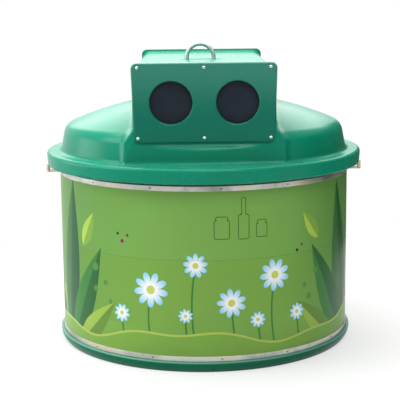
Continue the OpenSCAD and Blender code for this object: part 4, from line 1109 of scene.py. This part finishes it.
# Stainless steel, polished by rolling: bright, slightly warm, with fine scuffs
stainless = mottled("polished stainless", "#9fb5ac", "#cfdad4", 400.0, 4.0, polish=(0.3, 0.12), Metallic=0.9,
                    Roughness=0.25)
screw_head = domed_head("screw_pattern", SCREW_R, SCREW_H, mouth=0.0030, floor=0.00279, floor_z=0.0018,
                        sunk=0.0005, steps=8, count=24, material=stainless)
screws = make_piece("plate_screw_heads", [], [])
run_tree(screws, heads_on_plates_tree(), Head=screw_head, Columns=3, Spacing=SCREW_SPACING, Low=SCREW_ROWS[0],
         High=SCREW_ROWS[1], Face=PLATE_FACE, Finish=stainless)
bpy.data.objects.remove(screw_head)
settle(screws, "lid", "screw_steel", "front_plate_screws", "rear_plate_screws")

# Inlet flaps
# Sheets of 4 mm rubber that hang behind the inlets on a steel rod, folded round it at the top, and swing in
# when a bottle is posted. They hang with the slight curl that such sheet keeps from the roll, and are drawn
# a little thinner to leave room for it.
FLAP_HALF = 0.112
FLAP_ROD_Y = 0.628
FLAP_ROD_Z = 1.398
FLAP_DROP = 0.238
FLAP_CORNER = 0.030
FLAP_T = 0.004
CURL_ROOM = 0.0004
FLAP_CURL = 0.0018
FLAP_COLUMNS = 20
SLEEVE_BORE = 0.0052
SLEEVE_OUT = 0.0088
flap_rubber = rubber("cut sheet rubber", "#0c1621", "#16222f")
corner_start = FLAP_DROP - FLAP_CORNER
drops = np.concatenate([np.linspace(0.006, corner_start, 18),
                        FLAP_DROP - FLAP_CORNER * (1 - np.sin(np.radians(np.linspace(9, 84, 9)))),
                        [FLAP_DROP]])
for end, side, name in ((-1, -1, "flap_front_left"), (-1, 1, "flap_front_right"), (1, 1, "flap_rear_left"),
                        (1, -1, "flap_rear_right")):
    points, faces = [], []
    for row, drop in enumerate(drops):
        into, share = max(0.0, drop - corner_start), drop / FLAP_DROP
        half = FLAP_HALF - FLAP_CORNER + math.sqrt(max(FLAP_CORNER ** 2 - into ** 2, 0.0))
        for u in [2 * i / FLAP_COLUMNS - 1 for i in range(FLAP_COLUMNS + 1)]:
            curl = FLAP_CURL * share * (math.cos(u * 1.9 + side) + 0.4 * math.sin(5 * share))
            points.append((side * INLET_X + u * half, -FLAP_ROD_Y + curl, FLAP_ROD_Z - drop))
        if row:
            a, b = (row - 1) * (FLAP_COLUMNS + 1), row * (FLAP_COLUMNS + 1)
            faces += [(a + i, b + i, b + i + 1, a + i + 1) for i in range(FLAP_COLUMNS)]
    flap = make_piece(name + "_sheet", at_end(points, end), faces, flap_rubber)
    skin = flap.modifiers.new("thickness", "SOLIDIFY")
    skin.thickness = FLAP_T - CURL_ROOM
    skin.offset = 0.0
    bake_modifiers(flap)
    points, faces, loops = [], [], []
    for radius, x in ((SLEEVE_BORE, -FLAP_HALF), (SLEEVE_BORE, FLAP_HALF), (SLEEVE_OUT, FLAP_HALF),
                      (SLEEVE_OUT, -FLAP_HALF), (SLEEVE_BORE, -FLAP_HALF)):
        loops.append([(side * INLET_X + x, -FLAP_ROD_Y + radius * math.cos(t),
                       FLAP_ROD_Z + radius * math.sin(t)) for t in [2 * math.pi * i / 32 for i in range(32)]])
    strips(points, faces, loops)
    sleeve = make_piece(name + "_sleeve", at_end(points, end), faces, flap_rubber, smooth=False)
    weld(sleeve, 1e-6)
    joined = bmesh.new()
    joined.from_mesh(flap.data)
    joined.from_mesh(sleeve.data)
    joined.to_mesh(flap.data)
    joined.free()
    bpy.data.objects.remove(sleeve)
    settle(flap, name, "flap_rubber", name)

# Lid catches
# Turning catches of cast and zinc-plated steel on the drum's sides: a quarter turn of the grip brings the
# tongue over the keeper inside the rim. Weather has left them a warm, pale grey with a rough cast grain.
finish_nodes(mottled("weathered zinc plate", "#c9ab93", "#efe0d0", 45.0, 6.0, uneven=0.7,
                     relief=(0.4, 0.0008), Metallic=0.3, Roughness=0.5), "catch_left", "catch_right")

# Studio
# A plain pale floor with the container's soft shadow, a white surround, a dark card, five large soft lamps,
# and the camera where the photograph was taken: 6 m off and a little above the lid.
FLOOR_HALF = 12


def shown_rays(tree):
    """1 for what the camera sees, straight or in gloss and glass."""
    rays = add(tree, "LightPath").outputs
    mirrored = add(tree, "Math", (rays["Is Glossy Ray"], rays["Is Transmission Ray"]), operation="MAXIMUM")
    return add(tree, "Math", (rays["Is Camera Ray"], mirrored), operation="MAXIMUM")


# The floor is painted board that glows white to the eye, less so near the container, where the shadow is kept
floor_material, tree, shader = start_material("pale floor", Roughness=0.9, Specular_IOR_Level=0.0,
                                              Base_Color=linear("#f2f3f2"))
away = add(tree, "VectorMath", (add(tree, "TexCoord").outputs["Object"],), operation="LENGTH")
share = add(tree, "MapRange", {"Value": away.outputs["Value"], "From Min": 1.0, "From Max": 2.6,
                               "To Min": 0.60}, interpolation_type="SMOOTHSTEP")
seen = add(tree, "Math", (shown_rays(tree), share), operation="MULTIPLY")
glow = add(tree, "Emission", {"Color": (1.0, 1.0, 1.0, 1.0), "Strength": 1.0})
both = add(tree, "MixShader", (seen, shader, glow))
give(tree, tree.nodes["Material Output"], {"Surface": both})
floor = make_piece("floor", [(x * FLOOR_HALF, y * FLOOR_HALF, -0.0004)
                             for x, y in ((-1, -1), (1, -1), (1, 1), (-1, 1))],
                   [(0, 1, 2, 3)], floor_material, smooth=False)

# The card stands behind and to the right, and is seen only in the gloss: it keeps that side's greens full
CARD_R = 2.4
CARD_H = 2.1
card_material = start_material("dark card", Roughness=1.0, Specular_IOR_Level=0.0,
                               Base_Color=linear("#4a5447"))[0]
turn = [math.radians(a) for a in np.linspace(-22, 58, 15)]
points = [(CARD_R * math.cos(t), CARD_R * math.sin(t), z) for z in (0.0, CARD_H) for t in turn]
faces = [(i, i + 1, len(turn) + i + 1, len(turn) + i) for i in range(len(turn) - 1)]
card = make_piece("card", points, faces, card_material)
card.visible_camera = False
card.visible_diffuse = False
card.visible_shadow = False

# The surround is white to the eye and in gloss, and lights the container with less than a quarter of that
world = bpy.data.worlds.new("studio")
bpy.context.scene.world = world
world.use_nodes = True
sky = world.node_tree
level = add(sky, "MapRange", {"Value": shown_rays(sky), "To Min": 0.22})
give(sky, sky.nodes["Background"], {"Color": (1.0, 1.0, 1.0, 1.0), "Strength": level})

for name, place, size, depth, power in (
        ("key", (-4.4, -1.2, 3.8), 2.6, 2.6, 144.0), ("top", (-0.6, 0.6, 5.0), 4.0, 4.0, 280.0),
        ("back", (0.0, 6.5, 4.6), 9.0, 4.0, 250.0), ("front", (1.0, -4.2, 5.4), 2.4, 2.4, 140.0),
        ("side", (-4.8, 0.6, 1.3), 2.4, 1.6, 40.0)):
    lamp = bpy.data.lights.new(name, "AREA")
    lamp.shape = "RECTANGLE"
    lamp.size = size
    lamp.size_y = depth
    lamp.energy = power
    holder = bpy.data.objects.new(name, lamp)
    holder.location = place
    holder.rotation_euler = (Vector((0.0, 0.0, 0.9)) - Vector(place)).to_track_quat("-Z", "Y").to_euler()
    bpy.context.collection.objects.link(holder)

CAMERA_PLACE = (-0.0590, -5.9997, 1.7845)
CAMERA_YAW = 0.0064
CAMERA_PITCH = 0.1790
CAMERA_ROLL = -0.0105
camera_data = bpy.data.cameras.new("photo view")
camera_data.sensor_width = 36.0
camera_data.lens = 103.45
camera = bpy.data.objects.new("photo view", camera_data)
bpy.context.collection.objects.link(camera)
ahead = Vector((math.sin(CAMERA_YAW) * math.cos(CAMERA_PITCH), math.cos(CAMERA_YAW) * math.cos(CAMERA_PITCH),
                -math.sin(CAMERA_PITCH)))
right = Vector((math.cos(CAMERA_YAW), -math.sin(CAMERA_YAW), 0.0))
upright = right.cross(ahead)
right_turned = right * math.cos(CAMERA_ROLL) + upright * math.sin(CAMERA_ROLL)
up_turned = upright * math.cos(CAMERA_ROLL) - right * math.sin(CAMERA_ROLL)
camera.matrix_world = Matrix.Translation(CAMERA_PLACE) @ Matrix(
    (right_turned, up_turned, -ahead)).transposed().to_4x4()
bpy.context.scene.camera = camera
bpy.context.scene.view_settings.view_transform = "Standard"
